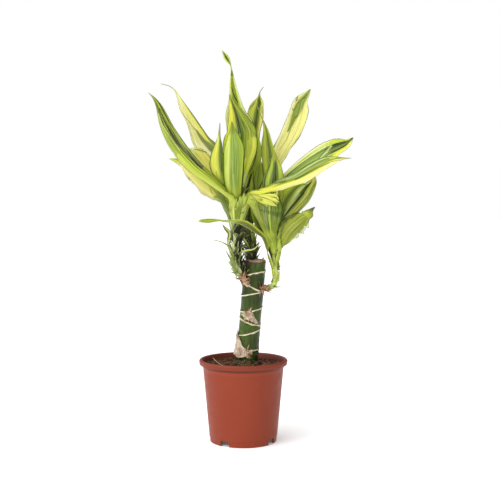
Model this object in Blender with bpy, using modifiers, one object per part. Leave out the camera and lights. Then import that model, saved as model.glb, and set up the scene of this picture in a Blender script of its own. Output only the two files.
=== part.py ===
"""Potted variegated dracaena: a cut cane with three leafy shoots, in soil in a plastic nursery pot.

The frame is +Z up, with the origin on the surface under the pot's centre. The front is -Y, the right is +X.
Sizes are in millimetres here and turned into metres where a mesh is made. A bearing is an angle in degrees
seen from above, from +X (the right) towards +Y (the back).
"""

import math

import bmesh
import bpy
from mathutils import Matrix, Vector, noise

MM = 0.001
GAP = 0.35  # clearance between neighbouring pieces

# Pot
POT_HEIGHT = 110.0
RIM_RADIUS = 60.0
WALL_TOP_RADIUS = 54.8
WALL_FOOT_RADIUS = 45.9
WALL = 1.4
FLOOR_TOP = 7.0
FLOOR_UNDERSIDE = 5.6
FOOT_HEIGHT = 6.4
FOOT_RADIUS = 45.1
FOOT_THICKNESS = 2.4
POT_SEGMENTS = 60
NOTCH_BEARINGS = [237.0 + 90.0 * i for i in range(4)]
NOTCH_WIDTH = 15.0
NOTCH_HEIGHT = 7.6
NOTCH_LENGTH = 14.0  # of its cutter, right through the foot ring
NOTCH_NARROWING = 0.78

# Soil
SOIL_EDGE_HEIGHT = 103.5
SOIL_MOUND = 7.5
SOIL_SEGMENTS = 36
SOIL_RINGS = 8
SOIL_SIDE_GAP = 0.5
CLOD_HEIGHT = 1.5

# Cane: the cut trunk, leaning a little to the right
CANE_FOOT = Vector((-1.2, 0.0, 46.0))
CANE_TOP = Vector((16.4, 0.0, 243.0))
CANE_RADIUS = 15.0
CANE_SEGMENTS = 26
CANE_ROWS = 44
SCAR_HEIGHT = 0.75  # how far a leaf scar stands out
SCAR_HALF_WIDTH = 1.9
CANE_LUMP = 0.35  # how far the cane swells and narrows
CANE_EDGE_WEAR = 0.9  # rounding at both ends
CANE_TOP_SLANT = 0.9
# Few of the cane's rows lie under the soil: share of the rows, share of the height
CANE_ROW_SPREAD = [(0.0, 0.0), (0.1, 0.31), (1.0, 1.0)]
# Each leaf scar: height of its ring on the cane's axis, its slant in mm, and the bearing it rises towards
SCARS = [
    (121.0, 2.5, 330.0),
    (147.0, 4.5, 20.0),
    (162.0, 5.5, 150.0),
    (178.0, 3.5, 40.0),
    (198.5, 3.0, 350.0),
    (209.0, 7.5, 165.0),
    (225.5, 3.5, 340.0),
]

# Dry sheath remains on the cane: first and last bearing, then the lower and the upper edge's heights from the
# first bearing to the last, and how far the free edge curls away
HUSKS = {
    "foot_husk": ((178, 292), (118, 116, 114, 114, 117, 119), (150, 147, 138, 128, 124, 125), 1.2),
    "middle_husk": ((240, 300), (169, 165, 162, 163, 167), (172, 176, 174, 175, 172), 0.8),
    "left_husk": ((229, 276), (214, 210, 209, 213, 216), (221, 227, 233, 224, 221), 1.0),
    "right_husk": ((296, 338), (192, 189, 190, 194), (198, 198, 196, 197), 0.8),
}
HUSK_THICKNESS = 0.7
HUSK_STANDOFF = 0.65  # how far a husk's inner side clears the scars it lies over
HUSK_CRUMPLE = 0.3
HUSK_FRAY = 0.8  # how ragged the upper and lower edges are

# Leaves
BLADE = 0.8  # thickness
BLADE_STRIPS = 4
ROW_SPACING = 9.5
SHEATH_LENGTH = 18.0
SHEATH_FLARE = 0.3  # how fast a sheath leans away from the stem
SHEATH_WRAP = 62.0  # half of the angle that a sheath takes round the stem
SHEATH_TAPER = 0.3  # how much of its width a sheath loses on its way up
OPENS_FROM = 0.6  # where a leaf starts to open out of its sheath, in sheath lengths
OPENS_OVER = 2.0
TIP_WIDTH = 0.8

# Shoots: the stem's centre line from inside the cane upwards, its radius at the foot and at the top
SHOOTS = {
    "left": ([(3, -2, 212), (-4, -6, 225), (-10, -10, 241), (-12, -12, 258), (-11, -11, 277),
        (-10, -9, 305), (-9, -8, 334)], 4.6, 3.4),
    "right": ([(20, -6, 206), (33, -7, 207), (41, -8, 211), (43, -8, 220), (43, -8, 238), (42, -8, 258),
        (40, -7, 278), (37, -6, 303)], 4.4, 3.4),
    "back": ([(11, 8, 228), (12, 14, 246), (12, 22, 260), (8, 26, 277), (3, 28, 300)], 4.4, 3.2),
}
# Dry stubs of shed leaves on the stems: level, bearing and length
STUBS = {
    "left": [(11, 180, 4.0), (19, 172, 8.0), (34, 172, 6.0)],
    "right": [(22, 300, 15.0), (46, 345, 5.0)],
    "back": [(20, 5, 4.0)],
}
STUB_FOOT_RADIUS = 2.2
STUB_END_RADIUS = 0.5
STUB_ROOT = 3.0  # how deep a stub is sunk into its stem
STEM_SWELL = 1.4  # how much fatter a shoot is where it leaves the cane
STEM_SWELL_LENGTH = 22.0
STEM_RING = 0.25
STEM_RINGS_END = 60.0  # level above which the sheaths hide the stem's rings

# Each leaf: its shoot, its level (mm up the stem at its base), the bearing of its base, its cup (half of the
# angle that its section bends through), the direction that its upper side faces, and the points that its
# midrib passes through on the way to the tip, each with the width of the blade there
LEAVES = {
    "left_small_leaf_1": ("left", 21, 250, 50, (0.3, 0.4, 0.9), [
        (-19, -18, 261, 6), (-25, -23, 267, 4), (-34, -27, 271, 3), (-41, -30, 272, 1)]),
    "left_small_leaf_2": ("left", 31, 335, 50, (-0.7, 0.5, 0.7), [
        (-1, -21, 256, 5), (5, -24, 258, 4), (12, -26, 259, 4), (17, -27, 262, 3), (21, -28, 267, 1)]),
    "left_small_leaf_3": ("left", 44, 190, 60, (0.5, 0.4, 0.7), [
        (-20, -18, 280, 10), (-25, -20, 287, 8), (-28, -20, 293, 1)]),
    "left_leaf_1": ("left", 72, 162, 40, (0.4, 0.9, 0.3), [
        (-27, 0, 321, 10), (-35, 4, 329, 14), (-43, 10, 336, 26), (-52, 15, 344, 32), (-65, 23, 355, 30),
        (-79, 32, 368, 20), (-92, 38, 379, 9), (-104, 42, 383, 1)]),
    "left_leaf_2": ("left", 78, 130, 34, (0.3, 0.85, 0.4), [
        (-33, 9, 345, 15), (-49, 20, 369, 25), (-64, 34, 387, 24), (-78, 44, 397, 2)]),
    "left_leaf_3": ("left", 84, 320, 36, (-0.15, -0.7, 0.7), [
        (8, -29, 333, 8), (22, -38, 335, 12), (36, -44, 339, 17), (51, -50, 344, 23), (72, -60, 351, 27),
        (90, -68, 361, 29), (105, -73, 370, 25), (117, -76, 376, 14), (127, -78, 378, 5), (138, -80, 379, 1)]),
    "left_leaf_4": ("left", 90, 220, 88, (0.71, -0.27, 0.65), [
        (-28, -24, 335, 18), (-48, -25, 349, 31), (-74, -16, 366, 49), (-98, 8, 396, 52),
        (-112, 36, 427, 44), (-121, 58, 457, 23), (-129, 72, 470, 10), (-138, 84, 480, 1)]),
    "left_leaf_5": ("left", 96, 268, 34, (0.1, 1, 0.1), [
        (-12, -27, 335, 22), (-13, -35, 352, 27), (-13, -39, 369, 29), (-12, -40, 391, 29),
        (-13, -38, 405, 21), (-14, -36, 418, 9), (-15, -34, 429, 1.5)]),
    "left_leaf_6": ("left", 102, 80, 34, (0, -0.8, 0.6), [
        (-12, 21, 346, 20), (-18, 42, 368, 24), (-24, 58, 380, 2)]),
    "left_leaf_7": ("left", 108, 130, 34, (0.3, -0.8, 0.4), [
        (-28, 37, 371, 22), (-50, 48, 396, 32), (-61, 55, 408, 31), (-73, 60, 423, 23),
        (-84, 64, 442, 15), (-95, 69, 459, 9), (-103, 72, 474, 3), (-111, 74, 485, 1.5),
        (-119, 76, 492, 1)]),
    "left_leaf_8": ("left", 114, 215, 34, (0.1, 1, 0), [
        (-27, -28, 349, 6), (-34, -28, 366, 20), (-35, -28, 383, 19), (-33, -28, 399, 11),
        (-32, -27, 410, 4), (-31, -26, 428, 1)]),
    "left_leaf_9": ("left", 120, 80, 34, (0, -1, 0.1), [
        (-7, 8, 358, 24), (-2, 12, 380, 38), (-1, 15, 402, 44), (-4, 17, 423, 41), (-10, 19, 442, 31),
        (-12, 20, 464, 17), (-15, 20, 485, 9), (-17, 18, 508, 1.6), (-23, 15, 520, 8),
        (-29, 14, 530, 1)]),
    "left_leaf_10": ("left", 126, 60, 34, (-0.2, -1, 0.1), [
        (-6, 1, 356, 24), (-5, -1, 377, 40), (-3, -2, 397, 50), (-2, -2, 415, 46), (-5, -1, 427, 36),
        (-9, 0, 441, 23), (-14, 1, 454, 11), (-19, 3, 469, 1.5)]),
    "right_leaf_1": ("right", 44, 205, 60, (0.2, -0.4, 0.9), [
        (28, -23, 273, 9), (17, -28, 283, 11), (8, -33, 290, 12), (0, -36, 294, 11), (-8, -38, 296, 8),
        (-24, -38, 297, 4.5), (-30, -38, 298, 3.5), (-37, -38, 298, 6), (-46, -37, 297, 9),
        (-56, -36, 297, 6), (-61, -35, 296, 1)]),
    "right_leaf_2": ("right", 52, 335, 26, (-0.3, 0.9, 0.3), [
        (54, -26, 265, 18), (59, -36, 277, 30), (66, -43, 287, 37), (74, -46, 295, 33),
        (82, -47, 303, 22), (88, -47, 310, 10), (94, -46, 316, 2)]),
    "right_leaf_3": ("right", 57, 127, 40, (0.3, -0.8, 0.5), [
        (20, 0, 298, 18), (17, 5, 322, 20), (17, 8, 346, 17), (20, 10, 374, 2)]),
    "right_leaf_4": ("right", 64, 262, 30, (0, -0.3, 0.9), [
        (35, -28, 279, 20), (32, -38, 291, 32), (29, -48, 303, 44), (27, -58, 317, 49),
        (28, -67, 328, 44), (31, -76, 333, 38), (32, -81, 332, 37), (33, -85, 327, 33), (32, -86, 320, 26)]),
    "right_leaf_5": ("right", 70, 325, 75, (-0.65, -0.4, 0.5), [
        (53, -24, 296, 14), (66, -27, 306, 37), (77, -31, 316, 48), (86, -33, 327, 50),
        (92, -33, 339, 41), (95, -31, 349, 22), (95, -29, 359, 2)]),
    "right_leaf_6": ("right", 76, 60, 34, (-0.3, -0.6, 0.7), [
        (44, 16, 318, 24), (50, 40, 340, 26), (60, 60, 352, 2)]),
    "right_leaf_7": ("right", 82, 20, 34, (-0.6, -0.5, 0.5), [
        (54, 2, 314, 20), (63, 6, 330, 28), (74, 8, 342, 26), (85, 8, 352, 2)]),
    "right_leaf_8": ("right", 88, 90, 34, (-0.1, -0.9, 0.3), [
        (39, 12, 348, 18), (43, 20, 374, 21), (52, 30, 393, 24), (63, 38, 412, 28), (73, 42, 432, 30),
        (78, 45, 449, 28), (81, 46, 462, 22), (87, 46, 471, 13), (94, 46, 481, 1)]),
    "right_leaf_9": ("right", 94, 285, 36, (0, 1, 0), [
        (42, -22, 324, 22), (40, -29, 345, 30), (41, -31, 356, 28), (42, -31, 368, 20),
        (42, -30, 379, 11), (42, -28, 389, 1)]),
    "right_leaf_10": ("right", 100, 340, 40, (-0.2, -0.85, 0.5), [
        (48, -8, 341, 16), (60, -12, 353, 20), (82, -24, 369, 28), (103, -38, 381, 36),
        (119, -48, 389, 34), (131, -56, 395, 24), (137, -62, 400, 11), (142, -66, 406, 1)]),
    "right_leaf_11": ("right", 106, 110, 34, (0, -1, 0), [
        (36, 0, 343, 16), (35, 2, 369, 20), (34, 3, 389, 19), (32, 4, 404, 15), (31, 4, 417, 9),
        (28, 4, 430, 3), (25, 4, 438, 1.2), (19, 6, 453, 0.9)]),
    "back_leaf_1": ("back", 34, 175, 34, (0.4, -0.4, 0.8), [
        (-22, 38, 318, 17), (-42, 54, 340, 28), (-62, 66, 354, 2)]),
    "back_leaf_2": ("back", 40, 335, 34, (-0.3, -0.3, 0.9), [
        (28, 28, 308, 17), (44, 42, 320, 28), (66, 54, 320, 2)]),
    "back_leaf_3": ("back", 46, 85, 34, (0, -0.6, 0.8), [
        (4, 54, 328, 28), (4, 76, 352, 30), (2, 91, 362, 2)]),
    "back_leaf_4": ("back", 52, 45, 34, (-0.4, -0.6, 0.7), [
        (20, 46, 336, 22), (36, 62, 360, 26), (48, 78, 378, 2)]),
    "back_leaf_5": ("back", 58, 250, 34, (-0.2, 1, 0.1), [
        (8, 24, 345, 14), (14, 26, 370, 18), (18, 27, 392, 17), (18, 28, 406, 12), (15, 28, 421, 2)]),
    "back_leaf_6": ("back", 64, 90, 34, (0, -1, 0), [
        (4, 38, 350, 16), (9, 42, 378, 20), (11, 45, 407, 22), (15, 47, 435, 24), (18, 47, 452, 22),
        (21, 47, 463, 15), (22, 46, 471, 4), (23, 45, 477, 1.4), (28, 44, 484, 1)]),
}


def start_clean():
    for obj in list(bpy.data.objects):
        bpy.data.objects.remove(obj, do_unlink=True)


def new_collection(name):
    made = bpy.data.collections.new(name)
    bpy.context.scene.collection.children.link(made)
    return made


def finish(name, colour, roughness):
    """A plain Principled material."""
    material = bpy.data.materials.new(name)
    material.use_nodes = True
    shader = material.node_tree.nodes["Principled BSDF"]
    shader.inputs["Base Color"].default_value = (*colour, 1.0)
    shader.inputs["Roughness"].default_value = roughness
    shader.inputs["Metallic"].default_value = 0.0
    return material


def add_object(name, mesh, material, collection):
    obj = bpy.data.objects.new(name, mesh)
    collection.objects.link(obj)
    mesh.materials.append(material)
    return obj


def mesh_from(bm, name, sharp_angle=40.0):
    """Turns a bmesh in millimetres into a mesh in metres, smooth but for its sharp edges."""
    bm.transform(Matrix.Scale(MM, 4))
    mesh = bpy.data.meshes.new(name)
    bm.to_mesh(mesh)
    bm.free()
    mesh.shade_smooth()
    mesh.set_sharp_from_angle(angle=math.radians(sharp_angle))
    return mesh


def apply_modifiers(obj):
    """Replaces the object's mesh with its evaluated one and clears the modifiers."""
    graph = bpy.context.evaluated_depsgraph_get()
    made = bpy.data.meshes.new_from_object(obj.evaluated_get(graph))
    obj.modifiers.clear()
    obj.data = made
    return obj


def cut(obj, cutter):
    """Takes the cutter out of the object; the cutter stays in the scene as a hidden helper."""
    cutter.hide_render = True
    cutter.display_type = "WIRE"
    modifier = obj.modifiers.new("cut", "BOOLEAN")
    modifier.operation = "DIFFERENCE"
    modifier.object = cutter


def smooth_line(points, count):
    """Evenly spaced points on a smooth curve through the given ones."""
    ends = [points[0] * 2 - points[1]] + points + [points[-1] * 2 - points[-2]]
    dense = []
    for i in range(1, len(ends) - 2):
        p0, p1, p2, p3 = ends[i - 1 : i + 3]
        for step in range(24):
            t = step / 24
            bend = (2 * p0 - 5 * p1 + 4 * p2 - p3) * t**2 + (3 * p1 - p0 - 3 * p2 + p3) * t**3
            dense.append(0.5 * (2 * p1 + (p2 - p0) * t + bend))
    dense.append(points[-1].copy())
    lengths = [0.0]
    for a, b in zip(dense, dense[1:]):
        lengths.append(lengths[-1] + (b.xyz - a.xyz).length)
    made, k = [], 0
    for i in range(count):
        want = lengths[-1] * i / (count - 1)
        while k < len(dense) - 2 and lengths[k + 1] < want:
            k += 1
        share = (want - lengths[k]) / max(lengths[k + 1] - lengths[k], 1e-9)
        made.append(dense[k].lerp(dense[k + 1], min(share, 1.0)))
    return made


def line_length(line):
    return sum((b.xyz - a.xyz).length for a, b in zip(line, line[1:]))


def point_at(line, distance):
    """Point and direction at a distance along an evenly spaced line."""
    step = line_length(line) / (len(line) - 1)
    k = min(max(int(distance / step), 0), len(line) - 2)
    return line[k].lerp(line[k + 1], distance / step - k), (line[k + 1] - line[k]).normalized()


def through(keys, t):
    """Smooth value at t through (place, value) pairs."""
    for (a, va), (b, vb) in zip(keys, keys[1:]):
        if t <= b:
            share = (t - a) / (b - a)
            return va + (vb - va) * (share * share * (3 - 2 * share) * 0.5 + share * 0.5)
    return keys[-1][1]


def ease(t):
    t = min(max(t, 0.0), 1.0)
    return t * t * (3 - 2 * t)


def bearing_vector(bearing):
    return Vector((math.cos(math.radians(bearing)), math.sin(math.radians(bearing)), 0.0))


def across(vector, direction):
    """The part of vector that is square to direction, as a unit vector."""
    return (vector - direction * vector.dot(direction)).normalized()


def stem_line(shoot):
    points = [Vector(p) for p in SHOOTS[shoot][0]]
    return smooth_line(points, 60)


def stem_radius(shoot, level):
    foot, top = SHOOTS[shoot][1:]
    return foot + (top - foot) * level / line_length(stem_line(shoot))


def leaf_spine(shoot, level, bearing, path):
    """The leaf's midrib and its width at each row: up the stem in its sheath, then through the path."""
    stem = stem_line(shoot)
    radius = stem_radius(shoot, level) + GAP + BLADE / 2
    points = []
    for i in range(4):
        along = SHEATH_LENGTH * i / 3
        centre, up = point_at(stem, level + along)
        lean = radius + SHEATH_FLARE * along
        place = centre + across(bearing_vector(bearing), up) * lean
        width = 2 * lean * math.radians(SHEATH_WRAP) * (1 - SHEATH_TAPER * ease(i / 3))
        points.append(Vector((*place, width)))
    points += [Vector(p) for p in path]
    rows = max(round(line_length(points) / ROW_SPACING), 7)
    return smooth_line(points, rows + 1), radius


def leaf_mesh(name, shoot, level, bearing, cup, face, path):
    """A blade bent from a flat grid: it wraps the stem, opens into a channel and ends in a point."""
    spine, radius = leaf_spine(shoot, level, bearing, path)
    rows = len(spine) - 1
    length = line_length(spine)
    bm = bmesh.new()
    bmesh.ops.create_grid(bm, x_segments=BLADE_STRIPS, y_segments=rows, size=1.0)
    stem = stem_line(shoot)
    frames = []
    for row, point in enumerate(spine):
        centre = point.xyz
        tangent = (spine[min(row + 1, rows)].xyz - spine[max(row - 1, 0)].xyz).normalized()
        gone = length * row / rows
        inward = across(point_at(stem, level + min(gone, SHEATH_LENGTH))[0] - centre, tangent)
        opened = ease((gone / SHEATH_LENGTH - OPENS_FROM) / OPENS_OVER)
        upper = across(inward.lerp(across(Vector(face), tangent), opened), tangent)
        half = max(point.w, TIP_WIDTH) / 2
        wrap = half / (radius + SHEATH_FLARE * min(gone, SHEATH_LENGTH))
        angle = wrap + (math.radians(cup) - wrap) * opened
        frames.append((centre, tangent.cross(upper), upper, half, angle))
    for vertex in bm.verts:
        centre, side, upper, half, angle = frames[round((vertex.co.y + 1) / 2 * rows)]
        turn = angle * vertex.co.x
        vertex.co = centre + (side * math.sin(turn) + upper * (1 - math.cos(turn))) * (half / angle)
    bmesh.ops.triangulate(bm, faces=bm.faces)
    return mesh_from(bm, name)


def add_leaf(name, material, collection):
    obj = add_object(name, leaf_mesh(name, *LEAVES[name]), material, collection)
    shell = obj.modifiers.new("thickness", "SOLIDIFY")
    shell.thickness = BLADE * MM
    shell.offset = 0.0
    return obj


def turned(name, profile, segments, material, collection):
    """A solid of revolution; the profile starts on the axis above and ends on it below."""
    mesh = bpy.data.meshes.new(name)
    points = [(r * MM, 0.0, z * MM) for r, z in profile]
    mesh.from_pydata(points, [(i, i + 1) for i in range(len(points) - 1)], [])
    obj = add_object(name, mesh, material, collection)
    screw = obj.modifiers.new("turn", "SCREW")
    screw.steps = screw.render_steps = segments
    screw.use_merge_vertices = True
    screw.merge_threshold = 0.00002
    screw.use_smooth_shade = True
    return obj


def add_pot(material, collection, helpers):
    """Tapered pot with a rolled rim and a foot ring in four parts."""
    profile = [
        (0.0, FLOOR_TOP),
        (WALL_FOOT_RADIUS - WALL - 2.5, FLOOR_TOP),
        (WALL_FOOT_RADIUS - WALL, FLOOR_TOP + 2.5),
        (WALL_TOP_RADIUS - WALL, 100.5),
        (RIM_RADIUS - 5.6, 104.5),
        (RIM_RADIUS - 4.4, POT_HEIGHT - 1.0),
        (RIM_RADIUS - 2.9, POT_HEIGHT),
        (RIM_RADIUS - 1.2, POT_HEIGHT - 0.4),
        (RIM_RADIUS - 0.1, POT_HEIGHT - 2.0),
        (RIM_RADIUS - 0.2, POT_HEIGHT - 4.2),
        (RIM_RADIUS - 1.4, POT_HEIGHT - 5.4),
        (RIM_RADIUS - 3.6, POT_HEIGHT - 6.4),
        (WALL_TOP_RADIUS + 0.2, POT_HEIGHT - 8.2),
        (WALL_TOP_RADIUS - 0.3, POT_HEIGHT - 12.0),
        (WALL_FOOT_RADIUS, FOOT_HEIGHT + 0.8),
        (FOOT_RADIUS, FOOT_HEIGHT),
        (FOOT_RADIUS - 0.4, 0.5),
        (FOOT_RADIUS - 0.8, 0.0),
        (FOOT_RADIUS - FOOT_THICKNESS, 0.0),
        (FOOT_RADIUS - FOOT_THICKNESS - 0.4, FLOOR_UNDERSIDE),
        (0.0, FLOOR_UNDERSIDE),
    ]
    pot = turned("pot", profile, POT_SEGMENTS, material, collection)
    for i, bearing in enumerate(NOTCH_BEARINGS):
        bm = bmesh.new()
        bmesh.ops.create_cube(bm, size=1.0)
        for vertex in bm.verts:
            narrowing = NOTCH_NARROWING if vertex.co.z > 0 else 1.0
            vertex.co.x = vertex.co.x * NOTCH_LENGTH + WALL_FOOT_RADIUS
            vertex.co.y *= NOTCH_WIDTH * narrowing
            vertex.co.z = vertex.co.z * (NOTCH_HEIGHT + 2.0) + NOTCH_HEIGHT / 2 - 1.0
        bm.transform(Matrix.Rotation(math.radians(bearing), 4, "Z"))
        cut(pot, add_object(f"notch_{i + 1}", mesh_from(bm, f"notch_{i + 1}"), material, helpers))
    return pot


def cane_axis(height):
    """Centre of the cane at a height."""
    return CANE_FOOT.lerp(CANE_TOP, (height - CANE_FOOT.z) / (CANE_TOP.z - CANE_FOOT.z))


def cane_radius(height, bearing):
    """Radius with the raised leaf scars, and a slight swelling under each of them."""
    radius = CANE_RADIUS + CANE_LUMP * math.cos((height - POT_HEIGHT) / 16.0)
    radius += CANE_LUMP * math.sin(math.radians(bearing * 2 + height))
    for ring, slant, rise in SCARS:
        middle = ring + slant * math.cos(math.radians(bearing - rise))
        off = (height - middle) / SCAR_HALF_WIDTH
        radius += SCAR_HEIGHT * math.exp(-off * off)
    return radius


def cane_mesh(name, margin, foot):
    """The cane as a wrapped grid with closed ends; margin makes it fatter, for a cutter."""
    bm = bmesh.new()
    bmesh.ops.create_grid(bm, x_segments=CANE_SEGMENTS, y_segments=CANE_ROWS, size=1.0)
    top = CANE_TOP.z + margin
    for vertex in bm.verts:
        bearing = -180.0 * vertex.co.x
        share = (vertex.co.y + 1) / 2
        height = foot + (top - foot) * through(CANE_ROW_SPREAD, share)
        radius = cane_radius(height, bearing) + margin - (0.0 if 0.0 < share < 1.0 else CANE_EDGE_WEAR)
        vertex.co = cane_axis(height) + bearing_vector(bearing) * radius
        if share == 1.0:
            vertex.co.z += CANE_TOP_SLANT * math.sin(math.radians(bearing + 40.0))
    bmesh.ops.remove_doubles(bm, verts=bm.verts, dist=0.01)
    bmesh.ops.holes_fill(bm, edges=[e for e in bm.edges if e.is_boundary])
    bmesh.ops.triangulate(bm, faces=[f for f in bm.faces if len(f.verts) > 4])
    bmesh.ops.recalc_face_normals(bm, faces=bm.faces)
    return mesh_from(bm, name)


def add_soil(material, collection, cutter):
    """Soil up to just under the rim, heaped round the cane, with a clodded top and a hole for the cane."""
    top_radius = WALL_TOP_RADIUS - WALL - SOIL_SIDE_GAP - 0.2
    foot_radius = WALL_FOOT_RADIUS - WALL - SOIL_SIDE_GAP
    profile = [(0.0, SOIL_EDGE_HEIGHT)]
    profile += [(top_radius * i / SOIL_RINGS, SOIL_EDGE_HEIGHT) for i in range(1, SOIL_RINGS + 1)]
    profile += [(top_radius - 0.6, SOIL_EDGE_HEIGHT - 7.0), (foot_radius + 0.2, FLOOR_TOP + 4.0)]
    profile += [(foot_radius - 2.6, FLOOR_TOP + SOIL_SIDE_GAP), (0.0, FLOOR_TOP + SOIL_SIDE_GAP)]
    soil = apply_modifiers(turned("soil", profile, SOIL_SEGMENTS, material, collection))
    top = (SOIL_EDGE_HEIGHT - 0.1) * MM
    for vertex in soil.data.vertices:
        out = math.hypot(vertex.co.x, vertex.co.y) / (top_radius * MM)
        if vertex.co.z > top and out < 0.999:
            clod = noise.noise(vertex.co * 95.0) * CLOD_HEIGHT
            vertex.co.z += (SOIL_MOUND * (1 - ease(out * 1.05)) + clod * (1 - out**4)) * MM
    cut(soil, cutter)
    return soil


def tube(name, line, radii, sides, material, collection):
    """A closed round tube of changing thickness along a line, as a mesh."""
    curve = bpy.data.curves.new(name, "CURVE")
    curve.dimensions = "3D"
    curve.bevel_depth = MM
    curve.bevel_resolution = sides // 4 - 1
    curve.use_fill_caps = True
    spline = curve.splines.new("POLY")
    spline.points.add(len(line) - 1)
    for point, place, radius in zip(spline.points, line, radii):
        point.co = (*(place * MM), 1.0)
        point.radius = radius
    drawn = bpy.data.objects.new(name + "_line", curve)
    collection.objects.link(drawn)
    graph = bpy.context.evaluated_depsgraph_get()
    mesh = bpy.data.meshes.new_from_object(drawn.evaluated_get(graph))
    bpy.data.objects.remove(drawn)
    bm = bmesh.new()
    bm.from_mesh(mesh)
    bmesh.ops.remove_doubles(bm, verts=bm.verts, dist=0.00002)
    bmesh.ops.recalc_face_normals(bm, faces=bm.faces)
    bm.to_mesh(mesh)
    bm.free()
    mesh.name = name
    mesh.shade_smooth()
    return add_object(name, mesh, material, collection)


def add_stem(shoot, material, collection, helpers, cutter):
    """A shoot's stem with a ring at each leaf's foot, growing out of the cane's side."""
    line = stem_line(shoot)[::3] + stem_line(shoot)[-1:]
    total = line_length(line)
    radii = []
    for i in range(len(line)):
        level = total * i / (len(line) - 1)
        swell = STEM_SWELL * (1 - ease(level / STEM_SWELL_LENGTH))
        ring = STEM_RING * (i % 2) * ease((STEM_RINGS_END - level) / 20.0)
        radii.append(stem_radius(shoot, level) - STEM_RING + ring + swell)
    stem = tube(f"{shoot}_stem", line, radii, 12, material, collection)
    for i, (level, bearing, length) in enumerate(STUBS[shoot]):
        centre, up = point_at(stem_line(shoot), level)
        out = (across(bearing_vector(bearing), up) + up * 0.5).normalized()
        bm = bmesh.new()
        bmesh.ops.create_cone(bm, cap_ends=True, segments=8, radius1=STUB_FOOT_RADIUS,
                              radius2=STUB_END_RADIUS, depth=length + STUB_ROOT)
        turn = out.to_track_quat("Z", "Y").to_matrix().to_4x4()
        reach = stem_radius(shoot, level) + (length - STUB_ROOT) / 2
        bm.transform(Matrix.Translation(centre + out * reach) @ turn)
        stub = add_object(f"{shoot}_stub_{i + 1}", mesh_from(bm, f"{shoot}_stub_{i + 1}"), material, helpers)
        stub.hide_render = True
        stub.display_type = "WIRE"
        joined = stem.modifiers.new("stub", "BOOLEAN")
        joined.operation = "UNION"
        joined.object = stub
    cut(stem, cutter)
    return stem


def along_edge(heights, t):
    """Height at t along an edge given by evenly spaced heights."""
    keys = [(i / (len(heights) - 1), h) for i, h in enumerate(heights)]
    return through(keys, t)


def add_husk(name, material, collection):
    """A papery scrap that hugs the cane."""
    bearings, lower, upper, curl = HUSKS[name]
    columns, rows = 9, 5
    bm = bmesh.new()
    bmesh.ops.create_grid(bm, x_segments=columns, y_segments=rows, size=1.0)
    for vertex in bm.verts:
        across_share = (1 - vertex.co.x) / 2
        up_share = (vertex.co.y + 1) / 2
        bearing = bearings[0] + (bearings[1] - bearings[0]) * across_share
        low, high = along_edge(lower, across_share), along_edge(upper, across_share)
        height = low + (high - low) * up_share
        height += HUSK_FRAY * math.sin(across_share * 31.0) * (2 * up_share - 1) ** 2
        lift = GAP + HUSK_THICKNESS / 2 + HUSK_STANDOFF + curl * (1 - up_share) ** 2
        lift += HUSK_CRUMPLE * noise.noise(Vector((bearing * 0.09, height * 0.13, 3.0)))
        vertex.co = cane_axis(height) + bearing_vector(bearing) * (cane_radius(height, bearing) + lift)
    bmesh.ops.triangulate(bm, faces=bm.faces)
    obj = add_object(name, mesh_from(bm, name), material, collection)
    shell = obj.modifiers.new("thickness", "SOLIDIFY")
    shell.thickness = HUSK_THICKNESS * MM
    shell.offset = 0.0
    return obj


def build():
    start_clean()
    plant = new_collection("potted_dracaena")
    helpers = new_collection("cutters")
    plastic = finish("pot_plastic", (0.36, 0.085, 0.045), 0.45)
    peat = finish("soil", (0.035, 0.024, 0.018), 0.95)
    bark = finish("cane_skin", (0.035, 0.075, 0.022), 0.5)
    green_stem = finish("stem_green", (0.24, 0.32, 0.07), 0.5)
    blade = finish("variegated_leaf", (0.5, 0.6, 0.1), 0.4)
    paper = finish("dry_husk", (0.62, 0.47, 0.33), 0.85)

    room = cane_mesh("cane_room", GAP, CANE_FOOT.z - GAP)
    cane_room = add_object("cane_room", room, bark, helpers)
    add_pot(plastic, plant, helpers)
    add_soil(peat, plant, cane_room)
    add_object("cane", cane_mesh("cane", 0.0, CANE_FOOT.z), bark, plant)
    for name in HUSKS:
        add_husk(name, paper, plant)
    for shoot in SHOOTS:
        add_stem(shoot, green_stem, plant, helpers, cane_room)
    for name in LEAVES:
        add_leaf(name, blade, plant)


build()
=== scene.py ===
"""Potted variegated dracaena: the finish of every surface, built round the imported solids.

Sizes are in millimetres here and turned into metres where a mesh is made. The front is -Y, the right is +X.
A bearing is an angle in degrees seen from above, from +X towards +Y (the back).
"""

import math
import random

import bmesh
import bpy
import numpy as np
from mathutils import Matrix, Vector, noise


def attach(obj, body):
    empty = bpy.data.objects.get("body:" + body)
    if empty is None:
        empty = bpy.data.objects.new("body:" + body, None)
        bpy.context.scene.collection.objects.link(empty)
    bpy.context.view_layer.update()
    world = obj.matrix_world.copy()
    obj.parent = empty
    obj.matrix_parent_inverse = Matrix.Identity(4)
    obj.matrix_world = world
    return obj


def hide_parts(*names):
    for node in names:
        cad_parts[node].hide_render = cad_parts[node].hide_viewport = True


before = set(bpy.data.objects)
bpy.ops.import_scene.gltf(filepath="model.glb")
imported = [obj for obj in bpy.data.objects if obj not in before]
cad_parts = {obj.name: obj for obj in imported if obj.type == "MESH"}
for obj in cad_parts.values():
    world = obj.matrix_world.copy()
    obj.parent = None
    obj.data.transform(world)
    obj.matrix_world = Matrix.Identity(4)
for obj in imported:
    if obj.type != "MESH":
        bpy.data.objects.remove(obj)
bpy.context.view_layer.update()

MM = 0.001
GAP = 0.35  # clearance that the solids keep

# Camera: the photograph's place and lens, for its square frame
CAMERA_PLACE = (9.0, -1300.0, 330.0)
HORIZON_ROW = 196.6
FOCAL_PIXELS = 958.0
FRAME_PIXELS = 500.0
SENSOR = 36.0

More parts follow.
